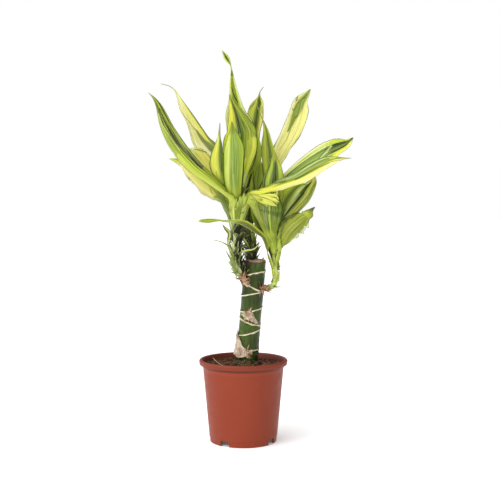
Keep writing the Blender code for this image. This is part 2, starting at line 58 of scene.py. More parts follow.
# Light: where it mostly comes from, the room's faintest and brightest side, and the soft key light
LIGHT_FROM = (-0.62, -0.55, 0.62)
LIGHT_RANGE = (0.36, 1.8)
KEY_STRENGTH = 0.9
KEY_SPREAD = 30.0
FLOOR_WHITE = (272, 272, 272)
FLOOR_GLOW = 0.07
FLOOR_RADIUS = 12.0  # in metres
# A surface's own colour as a share of what is seen of it in this light
STUDIO_LIFT = 0.86

# Pot
POT_HEIGHT = 110.0
RIM_RADIUS = 60.0
RIM_ROLL = 2.5
RIM_INSET = 2.55
WALL_TOP_RADIUS = 54.8
WALL_FOOT_RADIUS = 45.9
WALL = 1.4
FLOOR_TOP = 7.0
FLOOR_UNDERSIDE = 5.6
FOOT_HEIGHT = 6.4
# Height of the dark line of painted shade in the crease under the rim's roll
CREASE_HEIGHT = 102.6
FOOT_RADIUS = 45.1
FOOT_THICKNESS = 2.4
NOTCH_BEARINGS = [237.0 + 90.0 * i for i in range(4)]
NOTCH_WIDTH = 15.0
NOTCH_HEIGHT = 7.6
NOTCH_NARROWING = 0.78
POT_STEPS = 180

# Soil
SOIL_EDGE_HEIGHT = 103.5
SOIL_RADIUS = 52.7
SOIL_MOUND = 7.5
CRUMBS = 520
MOSS_TUFTS = 46

# Cane
CANE_FOOT = np.array((-1.2, 0.0, 46.0))
CANE_TOP = np.array((16.4, 0.0, 243.0))
CANE_RADIUS = 15.0
CANE_LUMP = 0.35
CUT_SLOPE = 0.16
CUT_REACH = 14.0
SCAR_LIFT = 0.75
# Leaf scars: height of the ring on the cane's axis, its slant and the bearing that it rises towards
SCARS = [
    (121.0, 2.5, 330.0),
    (147.0, 4.5, 20.0),
    (162.0, 5.5, 150.0),
    (178.0, 3.5, 40.0),
    (198.5, 3.0, 350.0),
    (209.0, 7.5, 165.0),
    (225.5, 3.5, 340.0),
]
CANE_SIDES = 120
CANE_ROWS = 230
BARK_ROUGHNESS = 0.3
# Dry sheath remains: first and last bearing, heights of the lower and upper edge, and the free edge's curl
HUSKS = {
    "foot_husk": ((178, 292), (118, 116, 114, 114, 117, 119), (150, 147, 138, 128, 124, 125), 1.2),
    "middle_husk": ((218, 312), (171.5, 169, 166, 164, 162, 160, 159.5),
        (173, 173.5, 177, 176, 173, 165, 161), 0.9),
}
HUSK_COLUMNS, HUSK_ROWS = 44, 22
HUSK_THICKNESS = 0.3
HUSK_LIFT = 1.1
HUSK_FRAY = 1.1
HUSK_CRUMPLE = 0.7

# Leaves
BLADE_MIDDLE = 0.75
BLADE_EDGE = 0.3
BLADE_STRIPS = 16
ROW_SPACING = 3.0
TORN_ROW_SPACING = 1.2
FEWEST_ROWS = 12
PLAIN_WAVE = (0.5, 3, 0.2)
RIB_DEPTH, RIB_WIDTH = 0.5, 0.07  # the groove over the midrib, its width as a share of half the blade's
RIPPLE_HEIGHT, RIPPLES = 0.1, 22
SLIM_HALF = 6.0  # half width under which a blade gets thinner and flatter
STROKE_STRETCH = 8.0  # how much longer a blade is than half of its width, as strokes on it are drawn
CROWN_SHEATHS = 12
CROWN_FOOT = 295.0
CROWN_FRONT = -17.5
SHEATH_LENGTH = 18.0
SHEATH_FLARE = 0.3
SHEATH_WRAP = 62.0
SHEATH_TAPER = 0.3
OPENS_FROM = 0.6
OPENS_OVER = 2.0
LEAF_RING_GAP = 6.5
GOLDEN_TURN = 137.5
STEM_POINTS = 110
STEM_SIDES = 28

# Shoots: centre line of the stem, its radius at the foot and at the top
SHOOTS = {
    "left": ([(3, -2, 212), (-4, -6, 225), (-10, -10, 241), (-12, -12, 258), (-11, -11, 277),
        (-10, -9, 305), (-9, -8, 334)], 4.6, 3.4),
    "right": ([(20, -6, 206), (33, -7, 207), (41, -8, 211), (43, -8, 220), (43, -8, 238), (42, -8, 258),
        (40, -7, 278), (37, -6, 303)], 4.4, 3.4),
    "back": ([(11, 8, 228), (12, 14, 246), (12, 22, 260), (8, 26, 277), (3, 28, 300)], 4.4, 3.2),
}
# How far up from its foot a stem is brown
STEM_FEET = {"left": 20.0, "right": 34.0, "back": 20.0}
# Dry stubs of shed leaves: level, bearing and length
STUBS = {
    "left": [(11, 180, 4.0), (19, 172, 8.0), (34, 172, 6.0)],
    "right": [(22, 300, 15.0), (46, 345, 5.0)],
    "back": [(20, 5, 4.0)],
}

# Each leaf, in rows of numbers: level and bearing of its base on its shoot with its cup, the way that its
# upper side faces, then its midrib's points with the blade's width at each. A leaf's name starts with its
# shoot's.
LEAVES = {
    "left_small_leaf_1": "21 250 50, .3 .4 .9, -19 -18 261 6, -25 -23 267 4, -34 -27 271 3, -41 -30 272 1",
    "left_small_leaf_2": "31 335 50, -.7 .5 .7, -1 -21 256 5, 5 -24 258 4, 12 -26 259 4, 17 -27 262 3, "
        "21 -28 267 1",
    "left_small_leaf_3": "44 190 60, .5 .4 .7, -20 -18 280 10, -25 -20 287 8, -28 -20 293 1",
    "left_leaf_1": "72 162 40, .4 .9 .3, -27 0 321 10, -35 4 329 14, -43 10 336 26, -52 15 344 32, "
        "-65 23 355 30, -79 32 368 20, -92 38 379 9, -104 42 383 1",
    "left_leaf_2": "78 130 34, .3 .85 .4, -33 9 345 15, -49 20 369 25, -64 34 387 24, -78 44 397 2",
    "left_leaf_3": "84 320 36, -.15 -.7 .7, 8 -29 333 8, 22 -38 335 12, 36 -44 339 17, 51 -50 344 23, "
        "72 -60 351 27, 90 -68 361 29, 105 -73 370 25, 117 -76 376 14, 127 -78 378 5, 138 -80 379 1",
    "left_leaf_4": "90 220 88, .71 -.27 .65, -19 -22 327 20, -31 -25 337 25, -48 -25 349 33, "
        "-74 -16 366 49, -99 8 396 49, -114 35 427 37, -123 57 457 18, -130 71 471 8, -138 84 480 1",
    "left_leaf_5": "96 268 34, .1 1 .1, -12 -27 335 22, -13 -35 352 27, -13 -39 369 29, -12 -40 391 29, "
        "-13 -38 405 21, -14 -36 418 9, -15 -34 429 1.5",
    "left_leaf_6": "102 80 34, 0 -.8 .6, -12 21 346 20, -18 42 368 24, -24 58 380 2",
    "left_leaf_7": "108 130 34, .3 -.8 .4, -28 37 371 22, -50 48 395 31, -60 54 406 29, -68 58 422 23, "
        "-77 62 440 17, -86 66 456 12.5, -93 70 471 6, -98 72 481 2.5, -106 74 488 1.5, -119 76 492 1",
    "left_leaf_8": "114 215 34, .1 1 0, -27 -28 349 6, -34 -28 366 20, -35 -28 383 19, -33 -28 399 11, "
        "-32 -27 410 4, -31 -26 428 1",
    "left_leaf_9": "120 80 34, 0 -1 .1, -7 8 358 24, -2 12 380 38, -1 15 402 44, -4 17 423 41, "
        "-10 19 442 31, -12 20 464 17, -15 20 485 9, -17 18 508 1.6, -23 15 520 8, -29 14 530 1",
    "left_leaf_10": "126 60 34, -.2 -1 .1, -6 -3 342 20, -6 0 356 26, -5 -1 377 40, -3 -2 397 50, "
        "-2 -2 415 46, -5 -1 427 36, -9 0 441 23, -14 1 454 11, -19 3 469 1.5",
    "right_leaf_1": "44 205 60, .2 -.8 .6, 28 -23 273 9, 17 -28 283 11, 8 -33 290 12, 0 -36 294 11, "
        "-8 -38 296 8, -24 -38 297 4.5, -30 -38 298 3.5, -37 -38 298 6, -46 -37 297 9, -56 -36 297 6, "
        "-61 -35 296 1",
    "right_leaf_2": "52 335 26, -.3 .9 .3, 54 -26 265 18, 59 -36 277 30, 66 -43 287 37, 74 -46 295 33, "
        "82 -47 303 22, 88 -47 310 10, 94 -46 316 2",
    "right_leaf_3": "57 127 40, .3 -.8 .5, 20 0 298 18, 17 5 322 22, 18 8 346 22, 20 10 366 15, 22 11 384 2",
    "right_leaf_4": "64 262 30, 0 -.3 .9, 35 -28 279 20, 32 -38 291 32, 29 -48 303 44, 27 -58 317 49, "
        "28 -66 328 44, 29 -71 332 40, 29 -73.5 331.5 39, 30 -74.5 329.5 37, 31 -75 327 34",
    "right_leaf_5": "70 325 75, -.65 -.4 .5, 53 -24 296 14, 66 -27 306 37, 77 -31 316 48, 86 -33 327 50, "
        "92 -33 339 41, 95 -31 349 22, 95 -29 359 2",
    "right_leaf_6": "76 60 34, -.3 -.6 .7, 44 16 318 24, 50 40 340 26, 60 60 352 2",
    "right_leaf_7": "82 20 34, -.6 -.5 .5, 54 2 314 20, 63 6 330 28, 74 8 342 26, 85 8 352 2",
    "right_leaf_8": "88 90 34, -.1 -.9 .3, 39 12 348 18, 43 20 374 21, 52 30 393 24, 63 38 412 28, "
        "73 42 432 30, 78 45 449 28, 81 46 462 22, 87 46 471 13, 94 46 481 1",
    "right_leaf_9": "94 285 36, 0 1 0, 42 -22 324 22, 40 -29 345 30, 41 -31 356 28, 42 -31 368 20, "
        "42 -30 379 11, 42 -28 389 1",
    "right_leaf_10": "100 340 40, -.2 -.85 .5, 48 -8 341 16, 60 -12 353 20, 82 -24 369 28, 103 -38 381 36, "
        "119 -48 389 34, 131 -56 395 24, 137 -62 400 11, 142 -66 406 1",
    "right_leaf_11": "106 110 34, 0 -1 0, 36 0 343 16, 35 2 369 20, 34 3 389 19, 32 4 404 15, 31 4 417 9, "
        "28 4 430 3, 25 4 438 1.2, 19 6 453 .9",
    "back_leaf_1": "34 175 34, .4 -.4 .8, -22 38 318 17, -42 54 340 28, -62 66 354 2",
    "back_leaf_2": "40 335 34, -.3 -.3 .9, 28 28 308 17, 44 42 320 28, 66 54 320 2",
    "back_leaf_3": "46 85 34, 0 -.6 .8, 4 54 328 28, 4 76 352 30, 2 91 362 2",
    "back_leaf_4": "52 45 34, -.4 -.6 .7, 20 46 336 22, 36 62 360 26, 48 78 378 2",
    "back_leaf_5": "58 250 34, -.2 1 .1, 8 24 345 14, 14 26 370 18, 18 27 392 17, 18 28 406 12, 15 28 421 2",
    "back_leaf_6": "64 90 34, 0 -1 0, 4 38 350 16, 9 42 378 20, 11 45 407 22, 15 47 435 24, 18 47 452 22, "
        "21 47 463 15, 22 46 471 4, 23 45 477 1.4, 28 44 484 1",
}

# The torn strips that hang folded over from the end of right_leaf_4: points with widths
FOLDED_STRIPS = [
    "13 -75 331 1, 18 -79 329 7, 26 -81 325 9, 35 -82 322 8, 43 -80 318 1",
    "20 -76 332 2, 28 -79.5 330.5 4, 37 -80 327 5, 44 -78 321 1",
    "24 -76 332 2, 33 -78 332 4, 42 -77 331 4, 46 -76 326 1",
    "15 -77 328 1, 21 -80 325 4, 28 -81 321 4, 31 -80 317 1",
    "34 -79 329 2, 41 -80 326 5, 46 -79 323 1",
]
STRAW = "-41 -8 112.5, -35 -16 108.2, -30 -24 106.6, -28 -28 106.2"

# Torn fibres that splay from one place: the place, the way that they face, the way that they point, how many,
# their reach, the spread in degrees to each side, their material, the seed, and the node that they stand for
FIBRES = {
    "left_husk_fibres": ((0, -15, 219), (-0.3, -1, 0), (0.1, 0, 1), 26, 11.0, 100.0, "red_fibre", 5,
        "left_husk"),
    "left_pale_fibres": ((4, -15.4, 213), (-0.3, -1, 0), (0.35, 0, 0.9), 12, 8.0, 120.0, "tan_fibre", 6),
    "middle_fibres": ((8, -15.2, 170), (0, -1, 0), (0.9, 0, -0.15), 22, 11.0, 170.0, "tan_fibre", 15),
    "foot_fibres": ((4, -16.5, 119), (0, -1, 0), (1, 0, 0.25), 20, 11.0, 80.0, "tan_fibre", 16),
    "right_husk_fibres": ((26, -13.5, 205), (0.5, -0.9, 0), (0.9, 0, 0.4), 26, 12.0, 120.0, "red_fibre", 7,
        "right_husk"),
    # cut_scraps are near-black: partly dry scraps at the cut, partly painted shade at the shoots' foot.
    "cut_scraps": ((4, -12, 240), (-0.6, -0.9, 0), (0.2, 0, 1), 18, 10.0, 150.0, "dark_scrap", 9),
    "cut_rim_scraps": ((27, -8, 244), (0.9, -0.5, 0), (0.0, 0, 1), 12, 5.0, 120.0, "red_fibre", 10),
}
# Remains of leaf bases round a stem: its shoot, the first and last level and how many, the first and last
# bearing, their length, width and lean, their material and the seed
SHEATHS = {
    "back_dead_sheaths": ("back", (3, 56, 40), (0, 360), 16.0, 8.0, 7.0, "dead_sheath", 11),
    "left_dead_sheaths": ("left", (30, 88, 30), (-85, 95), 17.0, 9.0, 10.0, "dead_sheath", 12),
    "back_side_sheaths": ("back", (12, 46, 14), (160, 235), 15.0, 8.5, 8.0, "dead_sheath", 19),
    # left_foot_sheaths fill the gap between the left stem and the cane with dark dead sheaths, partly real
    # sheaths and partly painted shade there.
    "left_foot_sheaths": ("left", (6, 60, 28), (-28, 62), 17.0, 9.5, 9.5, "dead_sheath", 18),
    "left_pale_sheaths": ("left", (14, 84, 24), (150, 350), 19.0, 6.4, 4.6, "pale_sheath", 13),
    "right_pale_sheaths": ("right", (24, 72, 14), (180, 360), 20.0, 6.5, 1.2, "lime_sheath", 14),
    "left_lime_sheaths": ("left", (84, 118, 34), (170, 400), 22.0, 10.0, 8.0, "lime_sheath", 16),
}

# Colours, as seen
COLOURS = {
    "cream": (242, 234, 150),
    "yellow": (236, 230, 84),
    "gold": (216, 206, 88),
    "lime": (202, 216, 64),
    "fresh": (162, 184, 46),
    "green": (108, 134, 28),
    "moss": (132, 148, 28),
    "olive": (154, 162, 42),
    "dark": (54, 82, 4),
    "deep": (28, 46, 0),
    "blue": (120, 148, 72),
    "gray": (116, 130, 80),
    "tan": (206, 192, 128),
    "brown": (104, 76, 42),
    "thread": (150, 146, 118),
    "ivory": (250, 248, 200),
    "bone": (242, 244, 214),
    "fern": (98, 122, 36),
    "scorched": (74, 60, 48),
    "pale": (228, 238, 172),
    "spring": (192, 210, 74),
    "sage": (138, 166, 62),
}

# Thin bands, by material: their pale and dark colour, the colour of their tips and the seed of their grain
BAND_COLOURS = {
    "red_fibre": ((176, 140, 106), (92, 64, 44), (132, 92, 64), 2.0),
    "tan_fibre": ((206, 184, 146), (142, 104, 74), (150, 104, 74), 3.0),
    "dark_scrap": ((70, 52, 40), (26, 22, 18), (50, 40, 30), 8.0),
    "dead_sheath": ((112, 118, 70), (46, 48, 24), (160, 164, 112), 4.0),
    "pale_sheath": ((206, 218, 152), (128, 148, 84), (226, 228, 188), 5.0),
    "lime_sheath": ((192, 202, 102), (112, 128, 52), (210, 216, 140), 6.0),
    "crown_sheath": ((202, 212, 104), (120, 136, 48), (182, 200, 86), 7.0),
    "folded_leaf": ((214, 216, 96), (112, 128, 36), (198, 204, 96), 12.0),
}
# Each stem's skin, the band above each of its leaf rings, and the seed of its grain
STEM_COLOURS = {
    "left": ((112, 130, 78), (184, 194, 136), 1.0),
    "right": ((150, 172, 74), (186, 202, 104), 2.0),
    # The back stem's dark skin and bands are painted shade, for the shade behind the other shoots.
    "back": ((46, 62, 36), (78, 92, 50), 3.0),
}
STUB_COLOURS = ((70, 82, 44), (104, 104, 60), 6.0)

# Stripes are places across a blade, from -1 to 1, with the colour at each. These two are at leaves' feet
EDGED_FEET = {
    "pale_edged": "-1 cream, -.85 lime, -.2 moss, .2 fresh, .85 lime, 1 cream",
    "gray_edged": "-1 cream, -.8 gray, -.1 green, .1 gray, .85 gray, 1 cream",
}
# The look of each leaf: stripes of its lower part and its upper part, where it changes along the leaf, the
# colour of its base and the places along it where that starts and ends to fade, and the same for its tip.
# Then come strokes over the stripes: colour, strength, half width at the start and at the end, and after the
# colon the points of the stroke's line, each across and along the blade
PLAIN = {
    "low": "-1 lime, -.7 lime, -.5 fresh, -.2 green, .2 fresh, .35 green, .6 spring, 1 lime",
    "base": "fresh .1 .35", "tip": "thread .95 1",
}
LOOKS = {
    "left_small_leaf_1": {
        "low": "-1 olive, -.3 fresh, .3 gray, 1 olive",
        "base": "gray_edged .4 .6", "tip": "gray .8 1"},
    "left_small_leaf_2": {
        "low": "-1 lime, -.3 pale, .3 spring, 1 pale",
        "base": "sage .2 .4", "tip": "cream .7 1"},
    "left_small_leaf_3": {
        "low": "-1 dark, -.6 cream, -.3 dark, .3 green, 1 cream",
        "base": "olive .2 .4", "tip": "dark .8 1"},
    "left_leaf_1": {
        "low": "-1 brown, -.95 moss, -.4 olive, -.1 gold, .4 cream, .7 tan, .95 gold, 1 lime",
        "base": "gray_edged .3 .46", "tip": "lime .85 1",
        "strokes": "dark .6 .05 .07: -.2 .49, .1 .43; deep .6 .05 .1: .6 .73, .95 .74; "
            "green .8 .2 .16: -1 .3, -.2 .36, .4 .4"},
    "left_leaf_2": {
        "low": "-1 brown, -.9 gold, 0 gold, .4 cream, 1 lime",
        "base": "lime .2 .4", "tip": "pale .86 .96",
        "strokes": "dark .8 .06 .1: -1 .8, -.75 .86, -.6 .92"},
    "left_leaf_3": {
        "low": "-1 moss, -.7 moss, -.5 yellow, .3 yellow, .7 fresh, 1 olive",
        "high": "-1 gray, -.88 gray, -.8 sage, -.66 gray, -.5 sage, -.38 green, -.26 olive, -.14 yellow, "
            ".2 cream, .95 cream, 1 tan",
        "change": (0.4, 0.5), "base": "moss .2 .3", "tip": "thread .93 .98",
        "strokes": "yellow .8 .1 .16: -.9 .33, -.3 .4, .4 .44; dark .7 .1 .14: -1 .43, -.7 .46, -.5 .51; "
            "pale .45 .06 .05: -.78 .9, -.82 .76, -.72 .53; dark .7 .12 .1: -.28 .6, -.16 .78, .02 .88, "
            ".5 .93, 1 .94; pale .7 .2 .12: .3 .86, .9 .88; lime .7 .16 .1: -.6 .88, -.9 .91"},
    "left_leaf_4": {
        "low": "-1 dark, -.96 moss, -.92 lime, -.86 moss, -.7 fresh, -.58 moss, -.5 lime, -.42 moss, "
            "-.2 dark, -.05 moss, .1 deep, .36 lime, .5 yellow, .6 lime, .7 moss, .78 deep, .88 dark, "
            ".94 spring, 1 dark",
        "base": "lime .16 .42", "tip": "gray .93 1",
        "strokes": "lime .85 .5 .25: -.6 .14, -.6 .42; moss .6 .04 .04: -.86 .14, -.8 .3, -.85 .6; "
            "dark .85 .1 .34: -.98 .62, -.9 .75, -.75 .85, -.45 .93; olive .8 .2 .2: -.45 .66, -.5 .82; "
            "pale .8 .035 .05: -.96 .45, -.9 .62, -.76 .77; lime .7 .06 .05: -.5 .22, -.5 .45; "
            "pale .6 .05 .05: -.4 .48, -.25 .5; deep .9 .11 .09: .42 .84, .6 .66, .78 .48, .86 .34; "
            "spring .8 .06 .05: .7 .8, .85 .65, .96 .45; spring .7 .05 .05: .5 .62, .66 .45, .72 .3"},
    "left_leaf_5": {
        "low": "-1 dark, -.9 green, -.8 spring, -.66 fresh, -.4 sage, -.12 sage, 0 blue, .14 sage, "
            ".27 moss, .36 fresh, .46 spring, .6 lime, .8 spring, .93 fresh, 1 dark",
        "base": "lime .2 .4", "tip": "moss .84 .92",
        # The first deep stroke, along the edge at -1, is painted shadow between this leaf and its neighbour.
        "strokes": "deep .85 .1 .08: -.97 .24, -.93 .42, -.98 .66; pale .35 .16 .12: .62 .3, .5 .6, .6 .8; "
            "dark .5 .1 .2: 0 .88, 0 .96; olive .6 .04 .04: -1 .11, -.2 .13, .5 .12; "
            "dark .5 .1 .12: .5 .17, .2 .06; pale .35 .08 .07: -.02 .2, -.02 .46"},
    "left_leaf_7": {
        "low": "-1 olive, -.95 cream, -.3 bone, .1 cream, .4 olive, .9 gray, 1 olive",
        "high": "-1 olive, -.93 cream, -.5 ivory, -.2 cream, .4 cream, .76 yellow, .84 olive, 1 gray",
        "change": (0.48, 0.56), "base": "gray .2 .4", "tip": "thread .9 .95",
        "strokes": "gray .95 .16 .26: .2 .6, .34 .52, .3 .46; olive .8 .05 .06: -1 .75, -.8 .735, -.5 .7, "
            "-.1 .65, .2 .61, .42 .56, .62 .49; dark .5 .03 .03: -.8 .735, -.5 .7, .2 .61, .6 .5; "
            "gray .9 .1 .12: .97 .84, .86 .72, .92 .63; ivory .7 .4 .4: -.4 .8, .3 .86; "
            "gray .8 .4 .9: 0 .93, 0 .99"},
    "left_leaf_8": {
        "low": "-1 green, -.75 green, -.55 dark, -.3 moss, -.14 spring, .05 yellow, .5 yellow, .72 spring, "
            ".88 moss, .96 dark, 1 dark",
        "base": "moss .34 .5", "tip": "thread .82 .9",
        "strokes": "pale .7 .25 .3: .3 .78, .5 .84; moss .8 .05 .08: .2 .47, .6 .41, 1 .39; "
            "dark .6 .08 .14: -.5 .78, -.6 .68"},
    "left_leaf_9": {
        "low": "-1 gold, -.96 ivory, -.76 cream, -.6 lime, -.3 olive, 0 moss, .3 olive, .7 spring, "
            ".88 pale, .94 gray, 1 dark",
        "high": "-1 pale, -.5 lime, -.3 dark, .3 dark, .6 lime, 1 pale",
        "change": (0.87, 0.91), "base": "lime .1 .25", "tip": "olive .97 1",
        "strokes": "moss .8 .3 .6: 0 .6, .05 .74, 0 .84; pale .85 .12 .14: .86 .5, .84 .8; "
            "pale .85 .12 .14: -.86 .5, -.84 .8; deep .9 .12 .06: -.35 .745, 0 .69, .4 .65; "
            "dark .7 .16 .16: -.9 .84, .9 .84; gray .6 .1 .1: -.6 .8, -.2 .74"},
    "left_leaf_10": {
        "low": "-1 moss, -.94 lime, -.86 yellow, -.5 yellow, -.4 spring, -.28 dark, -.12 sage, -.02 dark, "
            ".08 green, .2 fresh, .34 lime, .44 lime, .5 olive, .56 lime, .72 yellow, .88 lime, .97 fresh, "
            "1 dark",
        "high": "-1 moss, -.94 yellow, -.42 yellow, -.26 moss, -.16 dark, 0 blue, .1 dark, .24 moss, "
            ".3 dark, .42 spring, .52 moss, .66 spring, .76 moss, .9 green, 1 dark",
        "change": (0.54, 0.76), "base": "pale .16 .36", "tip": "moss .92 .98",
        "strokes": "dark .6 .04 .09: .5 .69, .72 .65, .95 .62; olive .7 .03 .03: .5 .64, .54 .5, .46 .36; "
            "deep .85 .1 .18: -.14 .66, -.04 .8, .2 .93; moss .7 .24 .24: .66 .64, .7 .9; "
            "dark .5 .05 .1: .4 .6, .36 .74; moss .6 .16 .2: .3 .46, .24 .62"},
    "right_leaf_1": {
        "low": "-1 cream, -.8 gray, .2 gray, .3 brown, .45 olive, 1 lime",
        "high": "-1 pale, -.5 gray, .3 lime, .6 dark, 1 pale",
        "change": (0.62, 0.7), "base": "pale_edged .12 .3", "tip": "pale .96 1", "edge": "pale",
        "strokes": "dark .5 .2 .2: .1 .78, .1 .95"},
    "right_leaf_2": {
        "low": "-1 pale, -.93 moss, -.7 olive, -.4 olive, -.22 moss, 0 olive, .4 olive, .9 moss, .97 lime, "
            "1 dark",
        "base": "pale_edged .3 .42", "tip": "scorched .92 .96",
        "strokes": "dark .75 .07 .12: .85 .66, .74 .52, .62 .42, .3 .33, .1 .24; spring .8 .1 .2: .76 .42, "
            ".74 .3, .9 .22; lime .6 .25 .2: -.2 .87, .7 .87; green .5 .08 .06: -.26 .75, -.16 .52; "
            "gray .6 .2 .14: -.7 .38, .1 .37; gray .8 .12 .1: -.98 .88, -.7 .82; bone 1 .22 .2: -.82 .3, "
            "-.8 .5, -.8 .68, -.84 .78; deep .7 .06 .1: .96 .56, .84 .66, .9 .8; deep .95 .16 .5: .4 .93, "
            ".6 .99"},
    "right_leaf_4": {
        "low": "-1 dark, -.94 green, -.6 green, -.48 moss, -.42 dark, -.34 green, -.27 spring, -.19 green, "
            "-.14 dark, -.04 gray, .1 green, .15 moss, .25 moss, .3 dark, .36 moss, .6 olive, .9 olive, "
            ".97 fresh, 1 lime",
        "high": "-1 lime, -.85 yellow, -.4 cream, -.3 yellow, .1 lime, .2 yellow, .5 cream, .6 lime, "
            ".7 yellow, 1 cream",
        "change": (0.94, 0.97), "base": "spring .28 .44", "tip": "lime .97 1",
        # The dark stroke from .1 .69 to -.95 .62 is a painted shadow cast by the folded end.
        "strokes": "spring .75 .3 .34: .85 .7, .75 .88; moss .8 .25 .3: -.7 .45, -.75 .36; "
            "deep .7 .04 .1: -1 .44, -.98 .55, -.96 .66; olive .8 .06 .1: -1 .93, -.3 .95, .3 .92, 1 .9; "
            "dark .6 .03 .05: -.6 .9, -.5 .97; dark .6 .03 .05: -.1 .88, .1 .98; dark .6 .03 .05: .5 .88, "
            ".4 .98; dark .6 .1 .05: -.7 .9, -.3 .89; dark .7 .04 .06: 0 .88, .5 .93; "
            "dark .7 .16 .3: .1 .69, -.5 .66, -.95 .62; spring .6 .1 .2: -.9 .82, -.2 .84; "
            "dark .5 .04 .05: -.9 .86, -.4 .84, .8 .84; olive .6 .04 .04: -.8 .99, .1 .985"},
    "right_leaf_5": {
        "low": "-1 spring, -.92 fresh, -.84 pale, -.74 pale, -.66 moss, -.6 dark, -.53 deep, -.45 fresh, "
            "-.34 gold, -.1 gold, 0 dark, .1 moss, .9 moss, .96 lime, 1 gold",
        "base": "dark .36 .5", "tip": "cream .9 .97",
        "strokes": "deep .7 .07 .09: -.55 .36, -.5 .75; pale .7 .04 .05: -.36 .4, -.26 .82; "
            "pale .6 .03 .04: -.7 .4, -.66 .7; dark .7 .05 .04: -.9 .86, -.7 .88, -.58 .8, -.55 .6"},
    "right_leaf_8": {
        "low": "-1 olive, -.94 ivory, -.6 cream, .9 cream, .97 ivory, 1 gold",
        "base": "cream .1 .3", "tip": "olive .96 1",
        "strokes": "green .9 .1 .75: -.38 .7, -.34 .8, -.06 .9, .1 .96; dark .6 .08 .12: -.6 .84, -.2 .92, "
            ".1 .95; dark .6 .05 .05: -.36 .79, -.1 .81; olive .85 .05 .05: -.45 .8, -.2 .7, -.1 .64, "
            "-.22 .56; dark .4 .03 .03: -.4 .78, -.18 .7, -.12 .65; olive .5 .04 .04: -.62 .66, -.6 .57; "
            "dark .7 .05 .07: -.98 .92, -.7 .9; gray .6 .05 .05: -.8 .85, -.6 .84; "
            "dark .6 .07 .05: .98 .6, .9 .66, .97 .72; dark .6 .06 .05: -.98 .5, -.9 .56, -.97 .6"},
    "right_leaf_9": {
        "low": "-1 fresh, -.9 spring, -.5 spring, -.34 green, -.18 deep, -.02 dark, .14 dark, .28 green, "
            ".44 spring, .66 fresh, .8 dark, .9 dark, 1 green",
        "base": "green .1 .4", "tip": "olive .86 .93"},
    "right_leaf_10": {
        "low": "-1 pale, -.9 ivory, -.7 lime, -.63 pale, -.56 dark, -.48 blue, -.15 sage, .2 gray, "
            ".5 lime, .7 yellow, 1 cream",
        "high": "-1 olive, -.95 lime, -.75 lime, -.66 spring, -.6 deep, -.35 dark, -.2 fern, -.04 deep, "
            ".06 dark, .14 lime, .5 yellow, .7 cream, .95 cream, 1 olive",
        "change": (0.74, 0.82), "base": "dark .3 .42", "tip": "deep .96 1",
        "strokes": "pale .6 .08 .06: -.5 .8, -.25 .76, -.04 .7; dark .6 .04 .04: -.58 .77, -.3 .73, "
            "-.1 .68; green .6 .03 .03: -.4 .79, .1 .74"},
    "right_leaf_11": {
        "low": "-1 moss, -.8 olive, -.4 lime, -.1 olive, .06 moss, .2 dark, .42 green, .6 olive, .9 lime, "
            "1 olive",
        "base": "dark .14 .5", "tip": "thread .8 .88",
        "strokes": "deep .9 .12 .08: -.5 .18, -.2 .3, .3 .42; deep .8 .1 .08: .8 .2, .4 .33, -.3 .4; "
            "dark .6 .08 .04: .1 .56, .2 .7, .3 .78; dark .7 .2 .1: -1 .42, -.9 .5; moss .6 .1 .1: -1 .69, "
            "-.7 .64"},
    "back_leaf_5": {
        "low": "-1 fresh, -.5 lime, 0 spring, .5 lime, 1 pale",
        "base": "dark .25 .5", "tip": "moss .9 1",
        # Its deep strokes are painted shade in the crevice between the leaf groups.
        "strokes": "deep 1 .2 .28: .1 .56, .25 .46, .4 .4; deep .7 .08 .06: -1 .71, -.8 .71; "
            "moss .5 .08 .06: -.2 .58, .2 .62"},
    "right_leaf_3": {
        "low": "-1 lime, -.6 fresh, -.4 green, 0 fresh, .1 green, .6 lime, 1 green",
        "base": "deep .1 .6", "tip": "lime .9 1",
        # Its deep strokes are painted shade in the crevice between the leaf groups.
        "strokes": "deep .9 .1 .2: -.2 .62, .1 .5; deep .9 .1 .1: -.9 .85, -.2 .7, .6 .5; "
            "deep .9 .08 .08: -.6 .5, .1 .66, .9 .8"},
    "back_leaf_6": {
        "low": "-1 moss, -.9 spring, -.6 gold, -.3 spring, -.08 moss, .04 dark, .3 dark, .44 moss, "
            ".6 gold, .85 cream, .93 olive, 1 dark",
        "base": "dark .2 .5", "tip": "thread .9 .95",
        "strokes": "dark .8 .12 .1: -.3 .91, .1 .88, .5 .88; dark .6 .06 .1: -.85 .83, -.6 .87; "
            "dark .7 .08 .08: .76 .86, .8 .82"},
}

# How a blade differs from the plain one: its waved edge (height, waves, where they start along the leaf), its
# torn edge (share of the half width, where it starts) and how wide its sheath is as a share of a plain one
SHAPES = {
    "left_small_leaf_1": {"sheath": 0.55, "torn": (0.3, 0.3)},
    "left_small_leaf_2": {"sheath": 0.5, "torn": (0.3, 0.3)},
    "left_small_leaf_3": {"sheath": 0.6, "torn": (0.4, 0.2)},
    "left_leaf_1": {"torn": (0.3, 0.62), "wave": (1.2, 5, 0.4)},
    "left_leaf_2": {"torn": (0.2, 0.4), "wave": (1.0, 4, 0.3)},
    "left_leaf_3": {"wave": (0.7, 5, 0.3)},
    "left_leaf_4": {"wave": (0.8, 4, 0.3)},
    "left_leaf_7": {"wave": (0.7, 4, 0.3)},
    "right_leaf_1": {"sheath": 0.7},
    "right_leaf_2": {"torn": (0.5, 0.34), "wave": (2.2, 7, 0.35)},
    "right_leaf_4": {"wave": (1.6, 5, 0.72)},
    "right_leaf_5": {"wave": (0.8, 5, 0.3)},
    "right_leaf_8": {"torn": (0.1, 0.6), "wave": (0.9, 6, 0.4)},
    "right_leaf_10": {"torn": (0.08, 0.6), "wave": (1.3, 6, 0.5)},
    "back_leaf_6": {"wave": (0.9, 6, 0.4)},
}


